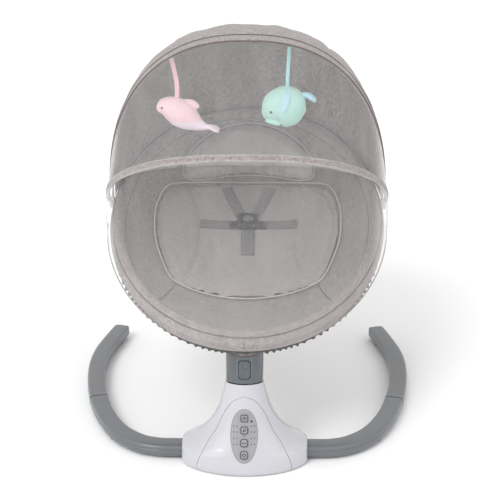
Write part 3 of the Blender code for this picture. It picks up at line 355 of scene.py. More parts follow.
def grid(name, rows, material, loop=False, thickness=0.0, offset=-1.0, smooth=60.0):
    """A surface from rows of points, with UVs in metres: u along a row from its middle, v from row to row."""
    count = len(rows[0])
    verts, uvs = [], []
    down = [0.0] * count
    for i, row in enumerate(rows):
        along = [0.0]
        for a, b in zip(row, row[1:]):
            along.append(along[-1] + (b - a).length)
        for j, point in enumerate(row):
            if i:
                down[j] += (point - rows[i - 1][j]).length
            verts.append(point)
            uvs.append((along[j] - along[-1] / 2, down[j]))
    faces = []
    for i in range(len(rows) - 1):
        for j in range(count if loop else count - 1):
            k = (j + 1) % count
            faces.append((i * count + j, i * count + k, (i + 1) * count + k, (i + 1) * count + j))
    made = mesh_object(name, verts, faces, material, uvs, smooth)
    if thickness:
        modified(made, "SOLIDIFY", thickness=thickness, offset=offset, use_quality_normals=True)
    return made


def frames(points, closed=False, hint=Z):
    """Two directions square to a line at each of its points."""
    result = []
    count = len(points)
    for i, point in enumerate(points):
        ahead = points[(i + 1) % count] if closed or i + 1 < count else point
        behind = points[i - 1] if closed or i else point
        direction = (ahead - behind).normalized()
        side = direction.cross(hint)
        if side.length < 1e-3:
            side = direction.cross(X)
        side.normalize()
        result.append((side, side.cross(direction).normalized()))
    return result


def tube(name, points, radius, material, closed=False, sides=8, flat=1.0, hint=Z, taper=None):
    """A round or flattened cord along a line. flat scales its height against its width."""
    rows = []
    for i, (point, (side, up)) in enumerate(zip(points, frames(points, closed, hint))):
        size = radius * (taper(i / (len(points) - 1)) if taper else 1.0)
        rows.append([point + side * (size * cos(2 * pi * k / sides)) + up * (size * flat * sin(2 * pi * k / sides))
                     for k in range(sides)])
    uvs = []
    run = 0.0
    for i, point in enumerate(points):
        run += (point - points[i - 1]).length if i else 0.0
        uvs += [(2 * pi * radius * k / sides, run) for k in range(sides)]
    return outward(mesh_object(name, *closed_faces(rows, closed), material, uvs))


def curve_through(points, steps, closed=False):
    """A Catmull-Rom line through the points."""
    result = []
    count = len(points)
    for i in range(count if closed else count - 1):
        p = [Vector(points[(i + k) % count] if closed else points[max(0, min(count - 1, i + k))])
             for k in (-1, 0, 1, 2)]
        for step in range(steps):
            t = step / steps
            result.append(0.5 * (2 * p[1] + (p[2] - p[0]) * t + (2 * p[0] - 5 * p[1] + 4 * p[2] - p[3]) * t * t
                                 + (3 * p[1] - p[0] - 3 * p[2] + p[3]) * t ** 3))
    if not closed:
        result.append(Vector(points[-1]))
    return result


def even(points, pitch):
    """The same line with points at an even distance."""
    result = [points[0]]
    carried = 0.0
    for a, b in zip(points, points[1:]):
        length = (b - a).length
        while length > 1e-9 and carried + length >= pitch:
            t = (pitch - carried) / length
            a = a + (b - a) * t
            length = (b - a).length
            carried = 0.0
            result.append(a)
        carried += length
    return result


def joined(name, pieces, material=None):
    """One object from several; they are all meshes with no modifiers."""
    work = bmesh.new()
    for piece in pieces:
        work.from_mesh(piece.data)
    mesh = bpy.data.meshes.new(name)
    work.to_mesh(mesh)
    work.free()
    made = bpy.data.objects.new(name, mesh)
    bpy.context.scene.collection.objects.link(made)
    mesh.materials.append(material or pieces[0].data.materials[0])
    for piece in pieces:
        bpy.data.objects.remove(piece)
    return made


def stitches(name, line, material, normal, pitch=0.0046, length=0.0030, radius=0.00034):
    """A row of sewn stitches along a line. normal gives the direction away from the cloth at a point."""
    verts, faces, uvs = [], [], []
    spots = even(line, pitch)
    sides = 5
    for here, there in zip(spots, spots[1:]):
        direction = (there - here).normalized()
        up = normal(here)
        side = direction.cross(up).normalized()
        start = len(verts)
        for along, size, lift in ((0.0, 0.35, -0.0001), (0.3, 1.0, 0.0002), (0.7, 1.0, 0.0002), (1.0, 0.35, -0.0001)):
            centre = here + direction * (length * along) + up * lift
            for k in range(sides):
                angle = 2 * pi * k / sides
                verts.append(centre + (side * cos(angle) + up * sin(angle)) * radius * size)
                uvs.append((k * 0.0004, along * length))
        for ring in range(3):
            a, b = start + ring * sides, start + (ring + 1) * sides
            for k in range(sides):
                m = (k + 1) % sides
                faces.append((a + k, a + m, b + m, b + k))
    return mesh_object(name, verts, faces, material, uvs)


def wave(point, scale, seed=0.0):
    return noise.noise(Vector(point) * scale + Vector((seed, seed * 1.7, -seed)))


def boolean(body, tool, operation="DIFFERENCE"):
    modified(body, "BOOLEAN", operation=operation, solver="EXACT", object=tool)
    return body


def cut_by(body, *tools):
    for tool in tools:
        boolean(body, tool)
        bpy.data.objects.remove(tool)
    body.data.set_sharp_from_angle(angle=radians(40))
    return body


def keep(made, body, slot, *replaced):
    """Hangs a finished piece on a CAD body and hides the CAD nodes that it stands for; slot is not used."""
    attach(made, body)
    if replaced:
        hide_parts(*replaced)
    return made


def trim(name, points, radius, material, body, slot, closed=False, sides=8, flat=1.0, hint=Z):
    return keep(tube(name, points, radius, look[material], closed, sides, flat, hint), body, slot)


# ---------------------------------------------------------------- seat
def seat(s, x, n):
    return RING_FRONT + REAR * s + UP * n + X * x


def ring_point(angle, inset, n):
    return seat(RING_A + (RING_A - inset) * sin(angle), (RING_B - inset) * cos(angle), n)


def bowl_height(s, x):
    along = (s - RING_A) / (RING_A - BOWL_INSET)
    side = x / (RING_B - BOWL_INSET)
    reach = min(1.0, hypot(along, side))
    steepness = 3.5 + 1.5 * (along / reach if reach > 1e-6 else 0.0)
    return BOWL_RIM - BOWL_DEPTH * (1 - reach ** steepness)


def bowl_normal(s, x):
    step = 0.002
    slope_s = (bowl_height(s + step, x) - bowl_height(s - step, x)) / (2 * step)
    slope_x = (bowl_height(s, x + step) - bowl_height(s, x - step)) / (2 * step)
    return (UP - REAR * slope_s - X * slope_x).normalized()


def over_bowl(s, x, lift):
    return seat(s, x, bowl_height(s, x)) + bowl_normal(s, x) * lift


def local(point):
    away = Vector(point) - RING_FRONT
    return away.dot(REAR), away.x, away.dot(UP)


COLUMNS = 360
RIM_PROFILE = [(0.0135, -0.0215), (0.0075, -0.0225), (0.0028, -0.0165), (0.0004, -0.0090), (0.0004, -0.0010),
               (0.0035, 0.0070), (0.0085, 0.0118), (0.0150, 0.0142), (0.0215, 0.0118), (0.0265, 0.0050),
               (0.0300, -0.0040)]


def seat_cover():
    """The basket: a hem turned under the ring, a channel over the ring and the sewn bowl."""
    profile = curve_through([Vector((a, b, 0)) for a, b in RIM_PROFILE], 4)
    rows = []
    for i, spot in enumerate(profile):
        share = i / (len(profile) - 1)
        row = []
        for j in range(COLUMNS + 1):
            angle = 2 * pi * (j % COLUMNS) / COLUMNS
            base = ring_point(angle, spot.x, spot.y)
            pucker = wave(base, 62, 3) * 0.0008 + wave(base, 24, 8) * 0.0006
            gather = (1 - share) ** 3 * 0.0010 * sin(angle * 150 + 3 * wave(base, 30, 1))
            outwards = (ring_point(angle, 0, 0) - ring_point(angle, 0.01, 0)).normalized()
            row.append(base + (outwards * min(0.0, pucker) + UP * min(0.0, pucker)) + outwards * (gather - 0.001))
        rows.append(row)
    reaches = [1 - 0.03 * k for k in range(1, 17)] + [0.46, 0.40, 0.34, 0.27, 0.20, 0.13, 0.06, 0.004]
    for reach in reaches:
        row = []
        for j in range(COLUMNS + 1):
            angle = 2 * pi * (j % COLUMNS) / COLUMNS
            s = RING_A + (RING_A - BOWL_INSET) * reach * sin(angle)
            x = (RING_B - BOWL_INSET) * reach * cos(angle)
            row.append(bowl_cloth(s, x, reach, angle))
        rows.append(row)
    cover = grid("basket_cover", rows, look["linen"], thickness=0.0016, offset=-1.0)
    return keep(outward(cover), "seat", "grey_fabric", "seat_cover")


def bowl_cloth(s, x, reach, angle):
    """The bowl's cloth with soft pulls towards its seams."""
    s2 = max(0.03, s)
    lift = 0.0012 * wave((s2 * 1.0, x, 0), 13, 2) + 0.0006 * wave((s2, x, 0), 38, 5)
    radial = 0.0010 * sin(angle * 17 + 4 * wave((s2, x, 0), 6, 4)) * max(0.0, reach - 0.55)
    crease = 0.0
    for (s0, x0), (s1, x1) in PANEL_SEAMS:
        d = segment_distance(s, x, s0, x0, s1, x1)
        crease += 0.0016 * exp(-(d / 0.0035) ** 2)
    edge = min(1.0, (1 - reach) / 0.05)
    return over_bowl(s, x, (lift + radial) * edge + 0.0006 - crease * edge)


def segment_distance(s, x, s0, x0, s1, x1):
    length = hypot(s1 - s0, x1 - x0)
    t = max(0.0, min(1.0, ((s - s0) * (s1 - s0) + (x - x0) * (x1 - x0)) / length ** 2))
    return hypot(s - s0 - (s1 - s0) * t, x - x0 - (x1 - x0) * t)


PANEL_SEAMS = [((0.238, 0.132), (0.108, 0.154)), ((0.238, -0.132), (0.108, -0.154))]


def rim_details():
    count = 300
    angles = [2 * pi * i / count for i in range(count)]
    # The rim and bowl seam cords carry painted shade in their dark colour.
    trim("rim_seam", [ring_point(a, 0.0066, 0.0098) for a in angles], SEAM_RADIUS, "seam", "seat", "grey_fabric", True,
         8, 0.8, UP)
    line = [ring_point(a, 0.0095, 0.0118) for a in angles]
    keep(stitches("rim_stitches", line, look["stitch"], lambda p: UP), "seat", "grey_fabric")
    trim("bowl_seam", [ring_point(a, 0.0292, -0.0008) for a in angles], SEAM_RADIUS, "seam", "seat", "grey_fabric",
         True, 8, 0.8, UP)
    rows = []
    waves = 118
    for inset, n, swing in ((0.0120, -0.0190, 0.0003), (0.0085, -0.0212, 0.0010), (0.0066, -0.0232, 0.0018),
                            (0.0060, -0.0252, 0.0023), (0.0064, -0.0272, 0.0026)):
        row = []
        for j in range(waves * 8 + 1):
            angle = 2 * pi * (j % (waves * 8)) / (waves * 8)
            base = ring_point(angle, 0, 0)
            wobble = angle * waves + 5.0 * wave(base, 16, 6)
            size = swing * (0.75 + 0.8 * wave(base, 33, 9))
            row.append(ring_point(angle, inset + size * sin(wobble), n + size * 0.35 * cos(2 * wobble)))
        rows.append(row)
    ruffle = grid("elastic_ruffle", rows, look["ruffle"], thickness=0.0007, offset=0.0)
    keep(outward(ruffle), "seat", "grey_fabric")
    # The panel seam cords carry painted shade in their dark colour, over the real crease.
    lines = []
    for (s0, x0), (s1, x1) in PANEL_SEAMS:
        path = [(s0 + (s1 - s0) * t / 20, x0 + (x1 - x0) * t / 20) for t in range(21)]
        lines.append(tube("seam_part", [over_bowl(s, x, 0.0003) for s, x in path], SEAM_RADIUS, look["seam"], False, 6,
                          0.7, UP))
    keep(joined("basket_panel_seams", lines, look["seam"]), "seat", "grey_fabric")
    # The joint seam cord carries painted shade in its dark colour.
    front = [ring_point(-pi / 2 + 0.0001, inset, n) for inset, n in
             ((0.0006, -0.012), (0.0000, -0.006), (0.0000, 0.0), (0.0030, 0.0070), (0.0060, 0.0100))]
    trim("rim_joint_seam", front, 0.0006, "seam", "seat", "grey_fabric", False, 6, 1.0, X)


def front_tongue():
    """The cloth lip that closes the front of the ring over the neck."""
    rows = []
    for k in range(9):
        v = k / 8
        row = []
        for j in range(33):
            u = -1 + 2 * j / 32
            angle = u * radians(62 - 14 * v)
            radius = NECK_RADIUS + 0.0016 + 0.0007 * (1 - v) + 0.0004 * sin(5 * u + 2)
            up = 0.0690 - 0.0150 * v - 0.0035 * v * (1 - u * u) + 0.004 * abs(u) ** 3 * (1 - v)
            row.append(SWING_ORIGIN + AXIS * up - BACK * (radius * cos(angle)) + X * (radius * sin(angle)))
        rows.append(row)
    lip = grid("front_tongue", rows, look["linen"], thickness=0.0012, offset=1.0)
    keep(outward(lip), "seat", "grey_fabric")
    # The binding uses the seam cord, whose dark colour is painted shade.
    trim("front_tongue_binding", rows[-1], 0.0009, "seam", "seat", "grey_fabric")
    # Painted shade: a dark cord on the lip's face marks the slit, standing for the shade in the gap.
    trim("front_tongue_slit_shade", [p - BACK * 0.0012 for p in rows[5][6:27]], 0.0007, "dark_piping", "seat", "grey_fabric",
         flat=0.6)


# ---------------------------------------------------------------- cushions
PAD_HALF = [(0.0, 0.210), (0.070, 0.219), (0.120, 0.233), (0.140, 0.250), (0.158, 0.300), (0.172, 0.350),
            (0.178, 0.405), (0.174, 0.460), (0.155, 0.512), (0.108, 0.548), (0.055, 0.566)]
PAD_WIDE, PAD_MIDDLE = 1.03, 0.393
PILLOW_TURN, PILLOW_OUT, PILLOW_HALF, PILLOW_THICKNESS = radians(44), 0.865, 0.126, 0.022
PAD_LINE = even(curve_through([Vector((s, x * PAD_WIDE, 0)) for x, s in PAD_HALF] + [Vector((0.571, 0, 0))]
                              + [Vector((s, -x * PAD_WIDE, 0)) for x, s in PAD_HALF[:0:-1]], 12, True), 0.0015)


def pad_spot(reach, angle):
    """The pad's outline from its control points, drawn in towards its middle."""
    place_at = (angle / (2 * pi) % 1.0) * len(PAD_LINE)
    i = int(place_at) % len(PAD_LINE)
    p = PAD_LINE[i].lerp(PAD_LINE[(i + 1) % len(PAD_LINE)], place_at - int(place_at))
    return PAD_MIDDLE + (p.x - PAD_MIDDLE) * reach, p.y * reach


def pillow_spot(reach, angle):
    around = pi / 2 - PILLOW_TURN * reach * cos(angle)
    out = PILLOW_OUT + PILLOW_HALF * reach * sin(angle)
    return RING_A + (RING_A - BOWL_INSET) * out * sin(around), (RING_B - BOWL_INSET) * out * cos(around)


def puffed(name, spot, thickness, material, cap, seams, seam_depth=0.0045, crown=1.0):
    """A stuffed pad over the bowl: a closed form is blown up by a cloth simulation, then its seams are sewn in."""
    steps = 72
    tops, unders = [], []
    levels = [1.0, 0.985, 0.95, 0.89, 0.80, 0.68, 0.54, 0.38, 0.20, 0.03]
    for reach in levels:
        places = [spot(reach * 0.985, 2 * pi * i / steps) for i in range(steps)]
        fill = sqrt(max(0.0, 1 - reach ** 6)) * crown
        tops.append([over_bowl(s, x, PAD_LIFT + 0.002 + (thickness - 0.004) * fill) for s, x in places])
        unders.append([over_bowl(s, x, PAD_LIFT + 0.0008) for s, x in places])
    made = outward(mesh_object(name, *closed_faces(unders[::-1] + tops, False), material))
    modified(made, "REMESH", mode="VOXEL", voxel_size=0.0042)
    rest = [v.co.copy() for v in made.data.vertices]
    cloth = made.modifiers.new("cloth", "CLOTH")
    cloth.settings.use_pressure = True
    cloth.settings.uniform_pressure_force = 4.0
    cloth.settings.effector_weights.gravity = 0.0
    cloth.settings.tension_stiffness = 25
    cloth.settings.compression_stiffness = 25
    cloth.settings.bending_stiffness = 0.6
    for step in range(1, 21):
        bpy.context.scene.frame_set(step)
    settle(made)
    bpy.context.scene.frame_set(1)
    for i, vertex in enumerate(made.data.vertices):
        move = vertex.co - rest[i]
        if move.length > cap:
            move = move * (cap / move.length)
        s, x, n = local(rest[i])
        floor = over_bowl(s, x, PAD_LIFT)
        up = bowl_normal(s, x)
        height = (rest[i] - floor).dot(up)
        if height < 0.0016:
            move = Vector((0, 0, 0))
        point = rest[i] + move
        stand = (point - floor).dot(up)
        if height > 0.003:
            for line in seams:
                d = min(segment_distance(s, x, *a, *b) for a, b in zip(line, line[1:]))
                point = point - up * min(seam_depth, max(0.0, stand - 0.002)) * exp(-(d / 0.0042) ** 2)
            point = point + up * 0.0007 * wave((s, x, 0), 34, 7)
        vertex.co = point
    modified(made, "SUBSURF", levels=1, render_levels=1)
    layer = made.data.uv_layers.get("UVMap") or made.data.uv_layers.new(name="UVMap")
    for loop in made.data.loops:
        s, x, n = local(made.data.vertices[loop.vertex_index].co)
        layer.data[loop.index].uv = (x, s)
    made.data.shade_smooth()
    return made


def outline(spot, lift, count=200):
    return [over_bowl(*spot(1.0, 2 * pi * i / count), lift) for i in range(count)]


def cushions():
    side_seams = []
    for sign in (-1, 1):
        side_seams.append([(0.545, sign * 0.122), (0.510, sign * 0.110), (0.474, sign * 0.096), (0.430, sign * 0.092),
                           (0.330, sign * 0.096), (0.262, sign * 0.110)])
    pad = puffed("seat_cushion", pad_spot, PAD_THICKNESS, look["pad"], 0.004, side_seams)
    keep(pad, "seat", "pad_fabric", "seat_pad")
    trim("seat_cushion_piping", outline(pad_spot, 0.0070), 0.0014, "piping", "seat", "pad_fabric", True, 10, 1.0, UP)
    pillow_seams = [[pillow_spot(0.72, a) for a in (pi * 1.08, pi * 1.2, pi * 1.35, pi * 1.5, pi * 1.65, pi * 1.8,
                                                    pi * 1.92)]]
    pillow = puffed("head_cushion", pillow_spot, PILLOW_THICKNESS, look["pillow"], 0.006, pillow_seams, 0.006)
    keep(pillow, "seat", "pad_fabric", "head_pillow")
    trim("head_cushion_piping", outline(pillow_spot, 0.0095), 0.0013, "piping", "seat", "pad_fabric", True, 10, 1.0,
         UP)


# ---------------------------------------------------------------- harness
def strap(name, points, width, body_slot, *replaced, thickness=0.0016, box_stitch=True):
    """Flat webbing with rolled edges over the pad; box_stitch, for a sewn box near its first end, is not used."""
    line = curve_through([Vector((s, x, 0)) for s, x in points], 10)
    rows = []
    for i, p in enumerate(line):
        ahead, behind = line[min(i + 1, len(line) - 1)], line[max(i - 1, 0)]
        direction = (ahead - behind).normalized()
        side = Vector((-direction.y, direction.x, 0))
        row = []
        for k in range(9):
            u = -1 + k / 4
            q = p + side * (width / 2 * u)
            row.append(over_bowl(q.x, q.y, STRAP_LIFT + 0.0002 + 0.0003 * abs(u) ** 4))
        rows.append(row)
    made = grid(name, rows, look["webbing"], thickness=thickness, offset=1.0)
    for vertex in made.data.vertices:
        s, x, n = local(vertex.co)
        if (vertex.co - over_bowl(s, x, STRAP_LIFT)).dot(bowl_normal(s, x)) < -0.0004:
            vertex.co += bowl_normal(s, x) * thickness
    keep(outward(made), "seat", body_slot, *replaced)
    return line


def harness():
    strap("crotch_webbing", [(0.345, 0), (0.380, 0), (0.420, 0)], 0.026, "webbing", "crotch_strap")
    for side, sign in (("left", -1), ("right", 1)):
        strap(f"waist_webbing_{side}", [(0.436, sign * 0.098), (0.436, sign * 0.070), (0.436, sign * 0.038)], 0.024,
              "webbing", f"waist_strap_{side}")
        strap(f"shoulder_webbing_{side}", [(0.545, sign * 0.046), (0.505, sign * 0.030), (0.465, sign * 0.014)],
              0.022, "webbing", f"shoulder_strap_{side}")


# ---------------------------------------------------------------- hood and net
def bow_way(angle):
    return REAR * cos(angle) + UP * sin(angle)


def bow_point(turn, angle, half_width, height, power=BOW_ROUND):
    c, s = cos(turn), sin(turn)
    x = half_width * copysign(abs(c) ** (2 / power), c)
    return seat(PIVOT_S, x, 0) + bow_way(angle) * (height * s ** (2 / power))


def eased(stations, t):
    """Smooth values between stations at even steps of t."""
    place_at = t * (len(stations) - 1)
    i = min(int(place_at), len(stations) - 2)
    u = place_at - i
    p = [stations[max(0, min(len(stations) - 1, i + k))] for k in (-1, 0, 1, 2)]
    return [0.5 * (2 * b + (c - a) * u + (2 * a - 5 * b + 4 * c - d) * u * u + (3 * b - a - 3 * c + d) * u ** 3)
            for a, b, c, d in zip(*p)]


HOOD_STATIONS = [(radians(1), 0.2562, 0.3150, 1.95, 0.0040), (radians(25), 0.2542, 0.3265, 2.2, 0.010),
                 (radians(52), 0.2572, 0.3330, 2.4, 0.003), (radians(85), 0.2572, 0.3375, 2.4, 0.0)]
UPPER_STATIONS = [(radians(85.3), 0.2575, 0.3375, 2.4, 0.0), (radians(108), 0.2580, 0.3350, 2.4, 0.0),
                  (radians(131.8), 0.2616, 0.3375, 2.4, 0.0)]
LOWER_STATIONS = [(radians(132), 0.2616, 0.3375, 2.4, 0.0), (radians(156), 0.2616, 0.3670, 2.35, 0.006),
                  (radians(180), 0.2616, 0.3935, 2.3, -0.0040)]


def spread(start, power, height, columns):
    low = asin((start / height) ** (power / 2))
    return [low + (pi - 2 * low) * (0.5 - 0.5 * cos(pi * k / columns) * 0.35 + (k / columns - 0.5) * 0.65)
            for k in range(columns + 1)]


HEM_OUT, HEM_DOWN = 0.0035, -0.0100
REAR_HEM, FRONT_HEM = radians(12), radians(2)


def hem_point(share, rear):
    """A point of the line just outside the ring that a canopy's hem is sewn to, from the right side to the left."""
    if rear:
        angle = REAR_HEM + (pi - 2 * REAR_HEM) * share
    else:
        angle = -FRONT_HEM - (pi - 2 * FRONT_HEM) * share
    return ring_point(angle, -HEM_OUT, HEM_DOWN)


def towards_pivot(point):
    way = seat(PIVOT_S, 0, 0) - point
    way.x *= 0.8
    return way.normalized()


def canopy_rows(stations, rows, columns, drape, start=CANOPY_START, hem=None):
    result = []
    ends = eased(stations, 0.0 if hem == "rear" else 1.0)
    end_row = [bow_point(turn, *ends[:4]) + UP * ends[4] for turn in spread(start, ends[3], ends[2], columns)]
    for i in range(rows + 1):
        t = i / rows
        angle, half_width, height, power, lift = eased(stations, t)
        pull = 0.0 if not hem else ((1 - t) if hem == "rear" else t) ** 3
        row = []
        for k, turn in enumerate(spread(start, power, height, columns)):
            point = bow_point(turn, angle, half_width, height, power) + UP * lift
            if pull:
                point = point + (hem_point(k / columns, hem == "rear") - end_row[k]) * pull
            inwards = towards_pivot(point)
            row.append(point + inwards * drape(t, turn, point))
        result.append(row)
    return result


def hood_drape(t, turn, point):
    """Gathers that start at the ring and fade towards the bow, and a slow sag between the two."""
    ends = min(1.0, sin(turn) * 1.6)
    folds = (0.5 + 0.5 * sin(turn * 21 + 2.4 * wave((turn * 1.2, t * 1.5, 0), 1.7, 11))) ** 1.5
    gathers = 0.0065 * folds * (1 - t) ** 1.2 * min(1.0, t * 9)
    small = 0.0010 * wave((turn * 9, t * 6, 0), 1.0, 4) * (1 - t) + 0.0006 * wave(point, 30, 12)
    long_folds = 0.0042 * wave((turn * 7 + t * 2.6, t * 1.5, 0), 1.0, 21) * sin(pi * min(1.0, t / 0.96)) ** 0.8
    small += long_folds + 0.0016 * wave((turn * 16 - t * 5, t * 3.2, 0), 1.0, 33) * sin(pi * min(1.0, t / 0.96))
    sag = 0.010 * sin(pi * min(1.0, t / 0.9)) ** 1.5
    crease = 0.0
    for place_at in HOOD_SEAMS:
        crease += 0.0022 * exp(-((turn - place_at) / 0.012) ** 2) * (0.3 + 0.7 * sin(pi * t))
    held = min(1.0, t * 12) * (0.0 if t > 0.985 else 1.0)
    return ends * (gathers + sag + small + crease) * held + 0.0006


def hood():
    rows = canopy_rows(HOOD_STATIONS, 64, 200, hood_drape, hem="rear")
    cloth = grid("hood_cloth", rows, look["linen"], thickness=0.0010, offset=1.0)
    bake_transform(cloth)
    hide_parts("hood_fabric")
    square = bow_way(HOOD_ANGLE).cross(X)
    trim("hood_edge_piping", [p + bow_way(radians(175)) * 0.0008 for p in rows[-1]], 0.0016, "dark_piping", "hood",
         "grey_fabric", False, 10, 1.0, square)
    band = [bow_point(turn, radians(81.0), 0.2581, 0.3386) for turn in spread(CANOPY_START, BOW_ROUND, 0.338, 200)]
    # The hem seam cord carries painted shade in its dark colour.
    trim("hood_hem_seam", band, 0.0007, "seam", "hood", "grey_fabric", False, 6, 0.8, square)
    sleeve_line = [bow_point(turn, HOOD_ANGLE, HOOD_BOW_X, BOW_HEIGHT)
                   for turn in spread(0.046, BOW_ROUND, BOW_HEIGHT, 120)]
    sleeve = sleeve_tube("hood_bow_sleeve", sleeve_line, 0.0080, 0.0036, HOOD_ANGLE, look["liner"])
    keep(sleeve, "hood", "grey_fabric")
    parts = []
    # The panel seam cords carry painted shade in their dark colour, over the real crease.
    for place_at in HOOD_SEAMS:
        line = []
        for i in range(2, 60):
            t = i / 64
            angle, half_width, height, power, lift = eased(HOOD_STATIONS, t)
            point = bow_point(place_at, angle, half_width, height, power) + UP * lift
            inwards = towards_pivot(point)
            line.append(point + inwards * (hood_drape(t, place_at, point) + 0.0002))
        parts.append(tube("part", line, 0.0009, look["seam"], False, 6, 0.8, X))
    seams = joined("hood_panel_seams", parts, look["seam"])
    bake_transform(seams)


def sleeve_tube(name, line, half_wide, half_thick, angle, material):
    """A flat cloth sleeve around a bow: wide along the canopy, thin across it."""
    square = bow_way(angle).cross(X)
    rows = []
    sides = 20
    for i, point in enumerate(line):
        ahead, behind = line[min(i + 1, len(line) - 1)], line[max(i - 1, 0)]
        direction = (ahead - behind).normalized()
        out = direction.cross(square).normalized()
        if out.dot(point - seat(PIVOT_S, 0, 0)) < 0:
            out = -out
        pinch = 1 + 0.05 * wave(point, 40, 13)
        row = []
        for k in range(sides + 1):
            turn = 2 * pi * k / sides
            a = copysign(abs(cos(turn)) ** 0.8, cos(turn)) * half_wide * pinch
            b = copysign(abs(sin(turn)) ** 0.9, sin(turn)) * half_thick
            row.append(point + square * a + out * (b + 0.0012))
        rows.append(row)
    return outward(grid(name, rows, material))


def net():
    def upper_drape(t, turn, point):
        return 0.0016 * wave((turn * 5, t * 1.2, 0), 1.3, 21) * sin(pi * t) + 0.0014

    def lower_drape(t, turn, point):
        gathers = 0.0012 * sin(turn * 30 + 3 * wave((turn * 2, t, 0), 1.0, 5)) * t ** 1.5 * (1 - t ** 8)
        return 0.0030 * wave((turn * 6, t * 2, 0), 1.1, 22) * sin(pi * t) + gathers + 0.0014 * (1 - t)

    upper_rows = canopy_rows(UPPER_STATIONS, 24, 140, upper_drape)
    upper = grid("net_upper_cloth", upper_rows, look["net_upper"])
    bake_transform(upper)
    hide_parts("net_upper")
    lower_rows = canopy_rows(LOWER_STATIONS, 40, 260, lower_drape, hem="front")
    lower = grid("net_lower_cloth", lower_rows, look["net_lower"])
    keep(lower, "net", "net_mesh", "net_lower")
    line = [bow_point(turn, NET_ANGLE, NET_BOW_X, BOW_HEIGHT) for turn in spread(0.036, BOW_ROUND, BOW_HEIGHT, 160)]
    sleeve = sleeve_tube("net_bow_sleeve", line, 0.0068, 0.0040, NET_ANGLE, look["linen"])
    keep(sleeve, "net", "grey_fabric")
    square = bow_way(NET_ANGLE).cross(X)
    lines = []
    for offset in (-0.0052, 0.0052):
        path = []
        for p in line:
            away = (p - seat(PIVOT_S, 0, 0)).normalized()
            path.append(p + square * offset + away * 0.0040)
        lines.append(stitches("part", path, look["stitch"], lambda p: (p - seat(PIVOT_S, 0, 0)).normalized()))
    keep(joined("net_bow_stitches", lines, look["stitch"]), "net", "grey_fabric")
    trim("net_hem_elastic", lower_rows[-1], 0.0012, "liner", "net", "net_mesh", False, 8, 1.0, UP)


# ---------------------------------------------------------------- toys
def blob(name, rings, material, voxel=0.0016, extra=(), smooth=6):
    """A plush body: rounded forms run together, smoothed and given a soft uneven skin."""
    pieces = [ball_chain(f"{name}_core", rings)] + [ball_chain(f"{name}_part", part) for part in extra]
    made = joined(name, pieces, material)
    modified(made, "REMESH", mode="VOXEL", voxel_size=voxel)
    modified(made, "SMOOTH", factor=0.5, iterations=smooth)
    for vertex in made.data.vertices:
        vertex.co += vertex.normal * (0.0006 * wave(vertex.co, 90, 31))
    made.data.shade_smooth()
    return made


def ball_chain(name, rings, sides=28):
    """A closed form along a line of (centre, half height, half thickness)."""
    fine = curve_through([Vector((*c, 0)) for c in [(i, 0) for i in range(len(rings))]], 5)
    stations = [eased([(c[0], c[1], c[2], a, b) for c, a, b in rings], i / (len(fine) - 1)) for i in range(len(fine))]
    rows = []
    for i, (px, py, pz, a, b) in enumerate(stations):
        ahead, behind = stations[min(i + 1, len(stations) - 1)], stations[max(i - 1, 0)]
        direction = Vector([ahead[k] - behind[k] for k in range(3)]).normalized()
        up = Y.cross(direction).normalized()
        a, b = max(a, 0.0006), max(b, 0.0006)
        rows.append([Vector((px, py, pz)) + up * (a * cos(2 * pi * k / sides)) + Y * (b * sin(2 * pi * k / sides))
                     for k in range(sides)])
    return outward(mesh_object(name, *closed_faces(rows, False), look["pink"]))


def ribbon(name, points, half_width, material, body):
    rows = []
    line = curve_through(points, 8)
    for i, point in enumerate(line):
        ahead, behind = line[min(i + 1, len(line) - 1)], line[max(i - 1, 0)]
        direction = (ahead - behind).normalized()
        side = direction.cross(Y).normalized()
        rows.append([point + side * (half_width * u) + Y * (0.0004 * (1 - u * u)) for u in (-1, -0.5, 0, 0.5, 1)])
    made = grid(name, rows, material, thickness=0.0010, offset=0.0)
    return keep(outward(made), body, "pink_plush" if "pink" in name else "teal_plush")


def toy_place(x):
    turn = pi / 2 - copysign(asin((abs(x) / HOOD_BOW_X) ** (BOW_ROUND / 2)), x)
    return bow_point(turn, HOOD_ANGLE, HOOD_BOW_X, BOW_HEIGHT) - Z * 0.0075


